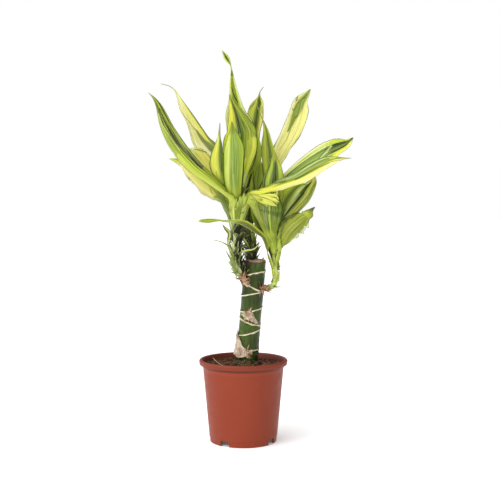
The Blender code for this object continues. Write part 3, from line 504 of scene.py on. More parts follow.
def as_seen(colour):
    """A colour given as it is seen in the studio's light, 0 to 255, as the surface's own linear colour."""
    parts = [c / 255 for c in COLOURS.get(colour, colour)]
    linear = [c / 12.92 if c <= 0.04045 else ((c + 0.055) / 1.055) ** 2.4 for c in parts]
    return tuple(c * STUDIO_LIFT for c in linear) + (1.0,)


def rows(text):
    """Rows of numbers: spaces part the numbers of a row, and commas part the rows."""
    return [tuple(float(word) for word in part.split()) for part in text.split(",")]


def stripes(text):
    """Stops for a colour ramp over a blade's width, from stripes that are written from -1 to 1."""
    pairs = [part.split() for part in text.split(",")]
    return [((float(place) + 1) / 2, colour) for place, colour in pairs]


def colour_and_span(text):
    """A colour and the two places that it goes between."""
    colour, start, end = text.split()
    return colour, float(start), float(end)


def smooth_line(points, count):
    """Evenly spaced points on a smooth curve through the given ones; a fourth value goes along with them."""
    points = np.array(points, float)
    ends = np.vstack([points[0] * 2 - points[1], points, points[-1] * 2 - points[-2]])
    t = (np.arange(24) / 24)[:, None]
    dense = []
    for p0, p1, p2, p3 in zip(ends, ends[1:], ends[2:], ends[3:]):
        bend = (2 * p0 - 5 * p1 + 4 * p2 - p3) * t**2 + (3 * p1 - p0 - 3 * p2 + p3) * t**3
        dense.append(0.5 * (2 * p1 + (p2 - p0) * t + bend))
    dense = np.vstack(dense + [points[-1:]])
    lengths = np.concatenate([[0], np.cumsum(np.linalg.norm(np.diff(dense[:, :3], axis=0), axis=1))])
    want = np.linspace(0, lengths[-1], count)
    return np.stack([np.interp(want, lengths, column) for column in dense.T], axis=1)


def line_length(line):
    """Length of a line through its points."""
    return np.linalg.norm(np.diff(line[:, :3], axis=0), axis=1).sum()


def point_at(line, distance):
    """Point and direction at a distance along an evenly spaced line."""
    step = line_length(line) / (len(line) - 1)
    k = min(max(int(distance / step), 0), len(line) - 2)
    ahead = line[k + 1] - line[k]
    return line[k] + ahead * (distance / step - k), ahead / np.linalg.norm(ahead)


def through(keys, t):
    """Smooth value at t through evenly spaced values."""
    place = np.clip(np.asarray(t, float), 0, 1) * (len(keys) - 1)
    k = np.minimum(place.astype(int), len(keys) - 2)
    share = place - k
    keys = np.array(keys, float)
    return keys[k] + (keys[k + 1] - keys[k]) * (share * share * (3 - 2 * share) * 0.5 + share * 0.5)


def ease(t):
    """A soft step from 0 to 1 as t goes from 0 to 1."""
    t = np.clip(t, 0.0, 1.0)
    return t * t * (3 - 2 * t)


def bearing_vector(bearing):
    """The level way that a bearing points."""
    turn = np.radians(bearing)
    return np.stack([np.cos(turn), np.sin(turn), np.zeros_like(turn)], axis=-1)


def across(vector, direction):
    """The part of vector that is square to direction, as a unit vector."""
    vector = np.asarray(vector, float)
    rest = vector - direction * np.dot(vector, direction)
    return rest / np.linalg.norm(rest)


def roughness_noise(points, scale, seed):
    """Noise from -1 to 1 at each point, for points in mm."""
    shift = Vector((seed * 7.3, seed * 3.1, seed * 1.7))
    flat = points.reshape(-1, 3)
    values = [noise.noise(Vector(p) * scale + shift) for p in flat]
    return np.array(values).reshape(points.shape[:-1])


def tube_faces(count, ring, first=0):
    """Faces along rings of points, numbered from first on, with a cap at each end."""
    index = first + np.arange(count * ring).reshape(count, ring)
    beside = np.roll(index, -1, axis=1)
    sides = np.stack([index[:-1], beside[:-1], beside[1:], index[1:]], axis=-1).reshape(-1, 4)
    return [*sides.tolist(), index[0][::-1].tolist(), index[-1].tolist()]


def give_mask(mesh, name, values):
    """A named value at every point of the mesh, for its material."""
    layer = mesh.attributes.new(name, "FLOAT", "POINT")
    layer.data.foreach_set("value", values.astype(np.float32).ravel())


def skin(name, rings, material, masks=None):
    """A closed body through rings of points, in mm, with its first and last ring capped."""
    mesh = bpy.data.meshes.new(name)
    mesh.from_pydata(rings.reshape(-1, 3) * MM, [], tube_faces(*rings.shape[:2]))
    for mask, values in (masks or {}).items():
        give_mask(mesh, mask, np.broadcast_to(values, rings.shape[:2]))
    return piece(name, mesh, material)


def placed(name, data):
    """A new object in the scene."""
    obj = bpy.data.objects.new(name, data)
    bpy.context.scene.collection.objects.link(obj)
    return obj


def piece(name, mesh, material):
    """A smooth object in the scene, of one material."""
    obj = placed(name, mesh)
    mesh.materials.append(material)
    mesh.shade_smooth()
    return obj


def from_bmesh(name, bm):
    """The mesh that was worked on, which is then let go."""
    mesh = bpy.data.meshes.new(name)
    bm.to_mesh(mesh)
    bm.free()
    return mesh


def belongs(obj, slot, *nodes):
    """The piece stands for these nodes and rides on the plant's one body; the slot is not used."""
    if nodes:
        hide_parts(*nodes)
    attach(obj, "root")


class Wiring:
    """Short calls for making and joining a material's nodes."""

    def __init__(self, tree):
        self.tree = tree

    def add(self, kind, inputs=None, **settings):
        made = self.tree.nodes.new(kind)
        for key, value in settings.items():
            setattr(made, key, value)
        for key, value in (inputs or {}).items():
            self.give(made.inputs[key], value)
        return made

    def give(self, socket, value):
        if isinstance(value, bpy.types.NodeSocket):
            self.tree.links.new(value, socket)
        else:
            socket.default_value = value

    def math(self, operation, *values, clamp=False):
        made = self.add("ShaderNodeMath", operation=operation, use_clamp=clamp)
        for socket, value in zip(made.inputs, values):
            self.give(socket, value)
        return made.outputs[0]

    def mix(self, share, first, second, blend="MIX"):
        made = self.add("ShaderNodeMix", data_type="RGBA", blend_type=blend)
        self.give(made.inputs[0], share)
        self.give(made.inputs[6], first)
        self.give(made.inputs[7], second)
        return made.outputs[2]

    def step(self, value, start, end, low=0.0, high=1.0):
        """A soft step from low to high as the value goes from start to end."""
        made = self.add("ShaderNodeMapRange", interpolation_type="SMOOTHSTEP")
        for socket, given in zip(made.inputs, (value, start, end, low, high)):
            self.give(socket, given)
        return made.outputs[0]

    def lay(self, colour, shade, value, start, end, most=1.0, blend="MIX"):
        """The colour with a shade over it, which comes in as the value goes from start to end."""
        return self.mix(self.step(value, start, end, 0.0, most), colour, as_seen(shade), blend)

    def ramp(self, value, stops):
        """Colours along a value; a stop is a place and the name of a colour."""
        made = self.add("ShaderNodeValToRGB", {"Fac": value})
        elements = made.color_ramp.elements
        while len(elements) < len(stops):
            elements.new(0.5)
        for element, (place, colour) in zip(elements, stops):
            element.position = place
            element.color = as_seen(colour)
        return made.outputs["Color"]

    def mask(self, name):
        return self.add("ShaderNodeAttribute", attribute_name=name).outputs["Fac"]

    def group(self, tree, **inputs):
        made = self.add("ShaderNodeGroup", node_tree=tree)
        for key, value in inputs.items():
            self.give(made.inputs[key], value)
        return made.outputs


def new_group(name, inputs, outputs):
    """An empty node group with named inputs and outputs."""
    tree = bpy.data.node_groups.new(name, "ShaderNodeTree")
    for key, value in inputs.items():
        kind = "NodeSocketVector" if isinstance(value, tuple) else "NodeSocketFloat"
        tree.interface.new_socket(key, in_out="INPUT", socket_type=kind).default_value = value
    for key in outputs:
        tree.interface.new_socket(key, in_out="OUTPUT", socket_type="NodeSocketFloat")
    wiring = Wiring(tree)
    return wiring, wiring.add("NodeGroupInput").outputs, wiring.add("NodeGroupOutput").inputs


def grain_group():
    """Noise drawn out along a piece: fibres, veins and streaks."""
    wiring, given, out = new_group("grain", {
        "Across": 0.0, "Along": 0.0, "Count": 10.0, "Stretch": 2.0, "Seed": 0.0}, ["Value", "Lines"])
    place = wiring.add("ShaderNodeCombineXYZ", {
        "X": wiring.math("MULTIPLY", given["Across"], given["Count"]),
        "Y": wiring.math("MULTIPLY", given["Along"], given["Stretch"]),
        "Z": given["Seed"],
    })
    soft = wiring.add("ShaderNodeTexNoise", {"Vector": place.outputs[0], "Scale": 1.0, "Detail": 2.0})
    wiring.give(out["Value"], soft.outputs["Fac"])
    wiring.give(out["Lines"], wiring.step(soft.outputs["Fac"], 0.42, 0.58))
    return wiring.tree


def stroke_group():
    """A soft straight stroke on a blade, between two points given across and along it."""
    wiring, given, out = new_group("stroke", {
        "Across": 0.0, "Along": 0.0, "From Across": 0.0, "From Along": 0.0, "To Across": 0.0, "To Along": 0.0,
        "Start": 0.1, "End": 0.1}, ["Value"])

    def point(u, t):
        stretched = wiring.math("MULTIPLY", given[t], STROKE_STRETCH)
        return wiring.add("ShaderNodeCombineXYZ", {"X": given[u], "Y": stretched}).outputs[0]

    def vector(operation, output, *values):
        made = wiring.add("ShaderNodeVectorMath", dict(enumerate(values)), operation=operation)
        return made.outputs[output]

    start = point("From Across", "From Along")
    reach = vector("SUBTRACT", "Vector", point("To Across", "To Along"), start)
    away = vector("SUBTRACT", "Vector", point("Across", "Along"), start)
    share = wiring.math("DIVIDE", vector("DOT_PRODUCT", "Value", away, reach),
                        vector("DOT_PRODUCT", "Value", reach, reach), clamp=True)
    scaled = wiring.add("ShaderNodeVectorMath", {0: reach, "Scale": share}, operation="SCALE")
    off = vector("DISTANCE", "Value", away, scaled.outputs["Vector"])
    widening = wiring.math("SUBTRACT", given["End"], given["Start"])
    half = wiring.math("MULTIPLY_ADD", widening, share, given["Start"])
    wiring.give(out["Value"], wiring.step(wiring.math("DIVIDE", off, half), 0.55, 1.25, 1.0, 0.0))
    return wiring.tree


def mottle_group():
    """Blotches and fine speckle through the body of a material, by place in the object."""
    wiring, given, out = new_group("mottle", {"Scale": 100.0, "Stretch": (1.0, 1.0, 1.0), "Seed": 0.0},
                                   ["Value", "Fine"])
    place = wiring.add("ShaderNodeVectorMath", {0: wiring.add("ShaderNodeTexCoord").outputs["Object"],
                                                1: given["Stretch"]}, operation="MULTIPLY")
    large = wiring.add("ShaderNodeTexNoise", {"Vector": place.outputs[0], "W": given["Seed"], "Detail": 3.0,
                                              "Scale": given["Scale"]}, noise_dimensions="4D")
    fine = wiring.add("ShaderNodeTexNoise", {"Vector": place.outputs[0], "W": given["Seed"], "Detail": 2.0,
                                             "Scale": wiring.math("MULTIPLY", given["Scale"], 6.0)},
                      noise_dimensions="4D")
    wiring.give(out["Value"], large.outputs["Fac"])
    wiring.give(out["Fine"], fine.outputs["Fac"])
    return wiring.tree


GRAIN = grain_group()
STROKE = stroke_group()
MOTTLE = mottle_group()


def grain(wiring, over, along, count, stretch, seed):
    """Fibres along a piece: so many over its width, and stretched that much less along it."""
    return wiring.group(GRAIN, Across=over, Along=along, Count=count, Stretch=stretch, Seed=seed)


def mottle(wiring, scale, seed, stretch=(1.0, 1.0, 1.0)):
    """Blotches, as many to the metre as the scale says."""
    return wiring.group(MOTTLE, Scale=scale, Stretch=stretch, Seed=seed)


def new_material(name):
    """A material, its wiring and the inputs of its shader."""
    material = bpy.data.materials.new(name)
    material.use_nodes = True
    return material, Wiring(material.node_tree), material.node_tree.nodes["Principled BSDF"].inputs


def finish(wiring, shader, colour, rough, height, depth, shine=None):
    """Gives the shader its colour, its roughness, a bump of that depth from the height, and its shine."""
    relief = wiring.add("ShaderNodeBump", {"Height": height, "Distance": depth * MM, "Strength": 1.0})
    wiring.give(shader["Base Color"], colour)
    wiring.give(shader["Roughness"], rough)
    wiring.give(shader["Normal"], relief.outputs["Normal"])
    if shine is not None:
        shader["Specular IOR Level"].default_value = shine


def stroked(wiring, colour, over, along, stroke):
    """The colour with one stroke laid over it."""
    settings, line = stroke.split(":")
    shade, *settings = settings.split()
    strength, start, end = map(float, settings)
    points = rows(line)
    count = len(points) - 1
    covered = None
    for i, ((u, t), (next_u, next_t)) in enumerate(zip(points, points[1:])):
        part = wiring.group(STROKE, **{
            "Across": over, "Along": along, "From Across": u, "From Along": t, "To Across": next_u,
            "To Along": next_t, "Start": start + (end - start) * i / count,
            "End": start + (end - start) * (i + 1) / count})["Value"]
        covered = part if covered is None else wiring.math("MAXIMUM", covered, part)
    return wiring.mix(wiring.math("MULTIPLY", covered, strength), colour, as_seen(shade))


def leaf_material(name, look, seed):
    """Stripes along a blade from its look, broken up by grain, with fine veins, a duller underside and a dark
    edge of painted shade, or the look's own edge colour.
    """
    material, wiring, shader = new_material(name)
    over, along = wiring.mask("across"), wiring.mask("along")
    body = grain(wiring, over, along, 7.0, 2.2, seed)["Value"]
    veins = grain(wiring, over, along, 46.0, 1.6, seed + 5.0)["Value"]
    streaks = grain(wiring, over, along, 19.0, 3.0, seed + 9.0)["Value"]
    threads = grain(wiring, over, along, 30.0, 2.4, seed + 3.0)["Value"]

    wander = wiring.math("MULTIPLY_ADD", body, 0.1, -0.05)
    place = wiring.math("MULTIPLY_ADD", wiring.math("ADD", over, wander), 0.5, 0.5)
    colour = wiring.ramp(place, stripes(look["low"]))
    if "high" in look:
        slanted = wiring.math("MULTIPLY_ADD", wiring.math("SUBTRACT", body, 0.5), 0.25, along)
        upper = wiring.ramp(place, stripes(look["high"]))
        colour = wiring.mix(wiring.step(slanted, *look["change"]), colour, upper)
    base, base_start, base_end = colour_and_span(look["base"])
    edged = base in EDGED_FEET
    foot = wiring.ramp(place, stripes(EDGED_FEET[base])) if edged else as_seen(base)
    colour = wiring.mix(wiring.step(along, base_start, base_end, 1.0, 0.0), colour, foot)
    tip, tip_start, tip_end = colour_and_span(look["tip"])
    colour = wiring.lay(colour, tip, along, tip_start, tip_end)

    drifted = wiring.math("ADD", over, wiring.math("MULTIPLY_ADD", body, 0.08, -0.04))
    for stroke in look["strokes"].split(";") if "strokes" in look else []:
        colour = stroked(wiring, colour, drifted, along, stroke)
    colour = wiring.lay(colour, (196, 208, 150), streaks, 0.5, 0.68, 0.6, "MULTIPLY")
    colour = wiring.lay(colour, "cream", streaks, 0.48, 0.34, 0.24)
    colour = wiring.lay(colour, (168, 182, 110), threads, 0.55, 0.63, 0.65, "MULTIPLY")
    colour = wiring.lay(colour, "pale", threads, 0.45, 0.37, 0.28)
    colour = wiring.lay(colour, "olive", veins, 0.4, 0.65, 0.35, "MULTIPLY")
    # Painted shade: a deep green band along each blade's edge stands for the shade where blades overlap; a
    # look's 'edge', as right_leaf_1's pale one, is the edge's own colour instead.
    edge_colour_and_shade = wiring.step(wiring.math("ABSOLUTE", over), 0.92, 1.0, 0.0, 0.85)
    if edged:
        edge_colour_and_shade = wiring.math("MULTIPLY", edge_colour_and_shade, wiring.step(along, base_start, base_end))
    colour = wiring.mix(edge_colour_and_shade, colour, as_seen(look.get("edge", "deep")))
    colour = wiring.mix(wiring.math("MULTIPLY", wiring.mask("under"), 0.08), colour, as_seen("gray"))

    finish(wiring, shader, colour, wiring.step(veins, 0.3, 0.7, 0.38, 0.5), veins, 0.12, 0.12)
    shader["Subsurface Weight"].default_value = 0.25
    shader["Subsurface Radius"].default_value = (0.9, 1.0, 0.25)
    shader["Subsurface Scale"].default_value = 2.0 * MM
    return material


def pot_material():
    """Satin terracotta-coloured plastic with faint flow marks and scuffs; its colour also holds painted shade
    inside the pot, on the rim and in the crease under the roll, and a painted light band beneath the rim.
    """
    material, wiring, shader = new_material("pot_plastic")
    marks = mottle(wiring, 14.0, 2.0, (1.0, 1.0, 0.25))
    scuffs = mottle(wiring, 60.0, 6.0, (1.0, 1.0, 2.0))
    colour = wiring.lay(as_seen((139, 55, 30)), (132, 51, 27), marks["Value"], 0.35, 0.65)
    colour = wiring.lay(colour, (154, 72, 48), scuffs["Fine"], 0.62, 0.78, 0.25)

    # Heights and distances from the pot's axis are in metres here, as the shader reads them
    here = wiring.add("ShaderNodeTexCoord").outputs["Object"]
    place = wiring.add("ShaderNodeSeparateXYZ", {0: here}).outputs
    height = place["Z"]
    flat = wiring.add("ShaderNodeCombineXYZ", {"X": place["X"], "Y": place["Y"]}).outputs[0]
    out = wiring.add("ShaderNodeVectorMath", {0: flat}, operation="LENGTH").outputs["Value"]
    # Painted shade: the inner wall above the soil is darker, where shade falls inside the pot.
    inside = wiring.math("MULTIPLY", wiring.step(out, 0.0562, 0.0546), wiring.step(height, 0.0985, 0.1))
    colour = wiring.mix(wiring.math("MULTIPLY", inside, 0.85), colour, as_seen((84, 48, 38)))
    # Painted light: a lighter band on the wall just beneath the rim, against the rim's shadow there.
    painted_light_under_rim = wiring.math("MULTIPLY", wiring.step(height, 0.1015, 0.1005),
                            wiring.step(height, 0.094, 0.0985))
    colour = wiring.mix(wiring.math("MULTIPLY", painted_light_under_rim, 0.3), colour, as_seen((176, 74, 44)))
    # Painted shade: a dark line in the crease under the rim's roll.
    off_shaded_crease = wiring.math("ABSOLUTE", wiring.math("SUBTRACT", height, CREASE_HEIGHT * MM))
    colour = wiring.mix(wiring.step(off_shaded_crease, 0.0, 0.0015, 0.75, 0.0), colour, as_seen((78, 24, 14)))
    # Painted shade: the rim, from 102.5 mm up, is darker.
    colour = wiring.lay(colour, (112, 46, 28), height, 0.1025, 0.1045, 0.5)
    rough = wiring.step(scuffs["Value"], 0.3, 0.7, 0.42, 0.54)
    finish(wiring, shader, colour, rough, scuffs["Fine"], 0.03, 0.22)
    return material


def soil_material():
    """Dark peat with browner crumbs."""
    material, wiring, shader = new_material("peat")
    crumbs = mottle(wiring, 160.0, 1.0)
    colour = wiring.lay(as_seen((38, 26, 20)), (112, 74, 52), crumbs["Value"], 0.4, 0.62)
    colour = wiring.lay(colour, (138, 94, 66), crumbs["Fine"], 0.58, 0.72, 0.8)
    finish(wiring, shader, colour, 0.95, crumbs["Fine"], 0.5, 0.1)
    return material


def cane_material():
    """Smooth green bark with fine upright fibres, pale scars and a pale brown cut end."""
    material, wiring, shader = new_material("cane_bark")
    turn, height, scar, cut = (wiring.mask(m) for m in ("turn", "height", "scar", "cut"))
    fibres = grain(wiring, turn, height, 40.0, 6.0, 3.0)
    patches = grain(wiring, turn, height, 5.0, 9.0, 8.0)["Value"]
    blotches = mottle(wiring, 28.0, 5.0, (1.0, 1.0, 0.6))["Value"]
    colour = wiring.lay(as_seen((20, 30, 8)), (68, 90, 26), blotches, 0.35, 0.65)
    colour = wiring.lay(colour, (36, 38, 12), patches, 0.42, 0.68, 0.55)
    colour = wiring.lay(colour, (92, 114, 44), fibres["Value"], 0.5, 0.75, 0.3)
    papery = wiring.mix(fibres["Lines"], as_seen((232, 222, 196)), as_seen((186, 164, 130)))
    ragged = wiring.math("ADD", scar, wiring.math("MULTIPLY_ADD", fibres["Value"], 0.5, -0.25))
    colour = wiring.mix(wiring.step(ragged, 0.35, 0.6), colour, papery)
    wood = wiring.lay(as_seen((226, 204, 172)), (178, 142, 112), fibres["Value"], 0.4, 0.6)
    rind = wiring.mix(wiring.step(cut, 0.6, 0.85), as_seen((112, 52, 40)), wood)
    colour = wiring.mix(wiring.step(cut, 0.1, 0.3), colour, rind)
    finish(wiring, shader, colour, wiring.step(ragged, 0.3, 0.6, 0.26, 0.85), fibres["Value"], 0.25, 0.18)
    return material


def husk_material(name, pale, dark, seed):
    """Dry papery sheath with fibres."""
    material, wiring, shader = new_material(name)
    fibres = grain(wiring, wiring.mask("turn"), wiring.mask("height"), 34.0, 3.0, seed)
    colour = wiring.mix(fibres["Lines"], as_seen(pale), as_seen(dark))
    colour = wiring.lay(colour, (116, 88, 66), mottle(wiring, 110.0, seed)["Value"], 0.46, 0.62, 0.7)
    finish(wiring, shader, colour, 0.88, fibres["Value"], 0.3)
    return material


def stem_material(name, skin_colour, band_colour, seed):
    """Green stem with a paler, thin-edged band above each leaf ring and a brown foot."""
    material, wiring, shader = new_material(name)
    band = wiring.mask("band")
    fibres = grain(wiring, wiring.mask("turn"), band, 24.0, 1.0, seed)["Value"]
    colour = wiring.lay(as_seen(skin_colour), band_colour, band, 0.15, 0.8)
    colour = wiring.lay(colour, "lime", fibres, 0.4, 0.7, 0.4)
    colour = wiring.lay(colour, "brown", band, 0.86, 0.95, 0.6)
    colour = wiring.lay(colour, (106, 70, 44), wiring.mask("foot"), 0.2, 0.8)
    finish(wiring, shader, colour, 0.45, fibres, 0.15)
    return material


def plain_material(name, first, second, rough, scale):
    """Two close colours in fine blotches."""
    material, wiring, shader = new_material(name)
    blotches = mottle(wiring, scale, 4.0)
    colour = wiring.mix(wiring.step(blotches["Value"], 0.38, 0.62), as_seen(first), as_seen(second))
    finish(wiring, shader, colour, rough, blotches["Fine"], 0.1)
    return material


def stem_line(shoot, count=60):
    """The centre line of a shoot's stem."""
    return smooth_line(SHOOTS[shoot][0], count)


def stem_radius(shoot, level):
    """The stem's radius at a distance up its centre line."""
    foot, top = SHOOTS[shoot][1:]
    return foot + (top - foot) * level / line_length(stem_line(shoot))


def leaf_spine(shoot, level, bearing, path, shape):
    """The midrib with the width at each row, as in the solids: up the stem in its sheath, then the path."""
    stem = stem_line(shoot)
    radius = stem_radius(shoot, level) + GAP + 0.4
    sheath = shape.get("sheath", 1.0)
    spacing = TORN_ROW_SPACING if "torn" in shape else ROW_SPACING
    points = []
    for i in range(4):
        along = SHEATH_LENGTH * i / 3
        centre, up = point_at(stem, level + along)
        lean = radius + SHEATH_FLARE * along
        width = 2 * lean * math.radians(SHEATH_WRAP) * (1 - SHEATH_TAPER * ease(i / 3)) * sheath
        points.append((*(centre + across(bearing_vector(bearing), up) * lean), width))
    points += path
    rough = smooth_line(points, 90)
    return smooth_line(points, max(round(line_length(rough) / spacing), FEWEST_ROWS) + 1), radius


def bite(row, edge, seed):
    """How deep a torn edge is bitten at a row, in long bites with small ones over them."""
    long = noise.noise(Vector((row * 0.45, seed, edge)))
    small = noise.noise(Vector((row, edge, seed)))
    return max(long, 0) + 0.3 * abs(small)


def leaf_rings(spine, radius, stem, level, cup, face, shape, seed):
    """Rings round the blade: its bent section at every row, thick at the midrib and thin at the edges."""
    rows = len(spine) - 1
    length = line_length(spine)
    there = np.linspace(-1, 1, BLADE_STRIPS + 1)
    wave_height, wave_count, wave_start = shape.get("wave", PLAIN_WAVE)
    torn, torn_from = shape.get("torn", (0.0, 1.0))
    bites = [[bite(row, edge, seed) for edge in (3.0, 8.0)] for row in range(rows + 1)]
    rings = []
    for row, point in enumerate(spine):
        centre = point[:3]
        tangent = spine[min(row + 1, rows), :3] - spine[max(row - 1, 0), :3]
        tangent = tangent / np.linalg.norm(tangent)
        share = row / rows
        gone = length * share
        inward = across(point_at(stem, level + min(gone, SHEATH_LENGTH))[0] - centre, tangent)
        opened = ease((gone / SHEATH_LENGTH - OPENS_FROM) / OPENS_OVER)
        outward = across(face, tangent)
        upper = across(inward + (outward - inward) * opened, tangent)
        side = np.cross(tangent, upper)
        half = max(point[3], 0.5) / 2
        wrap = half / (radius + SHEATH_FLARE * min(gone, SHEATH_LENGTH))
        angle = wrap + (math.radians(cup) - wrap) * opened
        tear = torn * ease((share - torn_from) / 0.1) * np.where(there > 0, *bites[row])
        turn = angle * there * (1 - tear)
        place = centre + (np.outer(np.sin(turn), side) + np.outer(1 - np.cos(turn), upper)) * (half / angle)
        normal = np.outer(-np.sin(turn), side) + np.outer(np.cos(turn), upper)
        slim = min(half / SLIM_HALF, 1.0)
        waving = ease((share - wave_start) / 0.15) * slim
        swing = np.sin(2 * math.pi * wave_count * share + seed + 2.1 * (there > 0))
        rib = -RIB_DEPTH * np.exp(-((there / RIB_WIDTH) ** 2)) * slim * opened
        lift = wave_height * waving * swing * there**2 + rib + RIPPLE_HEIGHT * slim * np.cos(there * RIPPLES)
        middle = place + normal * lift[:, None]
        thick = (BLADE_EDGE + (BLADE_MIDDLE - BLADE_EDGE) * (1 - there**2)) * (0.4 + 0.6 * slim)
        top = middle + normal * thick[:, None] / 2
        below = middle - normal * thick[:, None] / 2
        rings.append(np.vstack([below, top[-2:0:-1]]))
    return np.array(rings)


def add_leaf(node, shape, look, seed):
    """One leaf with its sheath, and masks for across it, along it and its underside."""
    shoot = node.split("_")[0]
    (level, bearing, cup), face, *path = rows(LEAVES[node])
    spine, radius = leaf_spine(shoot, level, bearing, path, shape)
    rings = leaf_rings(spine, radius, stem_line(shoot), level, cup, face, shape, seed)
    there = np.linspace(-1, 1, BLADE_STRIPS + 1)
    inner = there[-2:0:-1]
    masks = {
        "across": np.concatenate([there, inner])[None, :],
        "along": np.linspace(0, 1, len(rings))[:, None],
        "under": np.concatenate([np.ones_like(there), np.zeros_like(inner)])[None, :],
    }
    obj = skin(node + "_blade", rings, leaf_material(node + "_skin", look, seed), masks)
    belongs(obj, "leaf", node)


def arc(centre, radius, first, last, count):
    """Points of a profile along an arc, in degrees from +X."""
    turns = [math.radians(first + (last - first) * i / (count - 1)) for i in range(count)]
    return [(centre[0] + radius * math.cos(t), centre[1] + radius * math.sin(t)) for t in turns]


def pot_profile():
    """From the floor's middle inside, up the wall, over the rolled rim and down to the foot ring."""
    rim = (RIM_RADIUS - RIM_INSET, POT_HEIGHT - RIM_INSET)
    return [
        (0.0, FLOOR_TOP),
        *arc((WALL_FOOT_RADIUS - WALL - 2.5, FLOOR_TOP + 2.5), 2.5, 270, 350, 6),
        (WALL_TOP_RADIUS - WALL, 100.5),
        (RIM_RADIUS - 5.5, 104.6),
        *arc(rim, RIM_ROLL, 165, 0, 14),
        *arc((RIM_RADIUS - 1.9, POT_HEIGHT - 5.9), 1.4, 0, -80, 6),
        (WALL_TOP_RADIUS + 1.0, POT_HEIGHT - 7.2),
        (WALL_TOP_RADIUS + 0.1, POT_HEIGHT - 8.2),
        (WALL_TOP_RADIUS - 0.2, POT_HEIGHT - 11.0),
        (WALL_FOOT_RADIUS + 0.1, FOOT_HEIGHT + 1.6),
        (WALL_FOOT_RADIUS - 0.1, FOOT_HEIGHT + 0.7),
        (FOOT_RADIUS + 0.2, FOOT_HEIGHT + 0.3),
        (FOOT_RADIUS, FOOT_HEIGHT - 0.3),
        *arc((FOOT_RADIUS - 1.1, 0.8), 0.8, 0, -90, 4),
        (FOOT_RADIUS - FOOT_THICKNESS, 0.0),
        (FOOT_RADIUS - FOOT_THICKNESS - 0.4, FLOOR_UNDERSIDE),
        (0.0, FLOOR_UNDERSIDE),
    ]


def apply_modifiers(obj):
    """Replaces the object's mesh with its evaluated one."""
    graph = bpy.context.evaluated_depsgraph_get()
    made = bpy.data.meshes.new_from_object(obj.evaluated_get(graph))
    obj.modifiers.clear()
    obj.data = made


def notch_cutter(name, bearing):
    """A block that cuts one round-cornered notch in the foot ring, narrower at its top."""
    bm = bmesh.new()
    bmesh.ops.create_cube(bm, size=1.0)
    for vertex in bm.verts:
        narrowing = NOTCH_NARROWING if vertex.co.z > 0 else 1.0
        vertex.co.x = vertex.co.x * 14.0 + WALL_FOOT_RADIUS
        vertex.co.y *= NOTCH_WIDTH * narrowing
        vertex.co.z = vertex.co.z * (NOTCH_HEIGHT + 2.0) + NOTCH_HEIGHT / 2 - 1.0
    upper = [e for e in bm.edges if all(v.co.z > 0 for v in e.verts)]
    corners = [e for e in upper if abs(e.verts[0].co.y - e.verts[1].co.y) < 1]
    bmesh.ops.bevel(bm, geom=corners, offset=1.2, segments=4, profile=0.5, affect="EDGES")
    bm.transform(Matrix.Scale(MM, 4) @ Matrix.Rotation(math.radians(bearing), 4, "Z"))
    return placed(name, from_bmesh(name, bm))


def add_pot():
    """The profile turned round the pot's axis, with the notches cut out of its foot."""
    mesh = bpy.data.meshes.new("pot_shell")
    profile = pot_profile()
    edges = [(i, i + 1) for i in range(len(profile) - 1)]
    mesh.from_pydata([(r * MM, 0.0, z * MM) for r, z in profile], edges, [])
    pot = piece("pot_shell", mesh, pot_material())
    screw = pot.modifiers.new("turn", "SCREW")
    screw.steps = screw.render_steps = POT_STEPS
    screw.use_merge_vertices = True
    screw.merge_threshold = 0.00002
    cutters = [notch_cutter(f"notch_{i + 1}", bearing) for i, bearing in enumerate(NOTCH_BEARINGS)]
    for cutter in cutters:
        pot.modifiers.new("notch", "BOOLEAN").object = cutter
    apply_modifiers(pot)
    for cutter in cutters:
        bpy.data.objects.remove(cutter)
    pot.data.shade_smooth()
    pot.data.set_sharp_from_angle(angle=math.radians(35))
    belongs(pot, "pot", "pot")


def cane_axis(height):
    """Points of the leaning cane's centre line."""
    share = (np.asarray(height) - CANE_FOOT[2]) / (CANE_TOP[2] - CANE_FOOT[2])
    return CANE_FOOT + (CANE_TOP - CANE_FOOT) * share[..., None]


def scar_at(height, bearing, half_width):
    """How much of a leaf scar there is at a place on the cane, 0 to 1."""
    found = np.zeros(np.broadcast(height, bearing).shape)
    for ring, slant, rise in SCARS:
        middle = ring + slant * np.cos(np.radians(bearing - rise))
        found = np.maximum(found, np.exp(-(((height - middle) / half_width) ** 2)))
    return found


def cane_radius(height, bearing):
    """The bark's distance from the centre line, with its lumps and scars."""
    radius = CANE_RADIUS + CANE_LUMP * np.cos((height - POT_HEIGHT) / 16.0)
    radius = radius + CANE_LUMP * np.sin(np.radians(bearing * 2 + height))
    return radius + SCAR_LIFT * scar_at(height, bearing, 1.9)


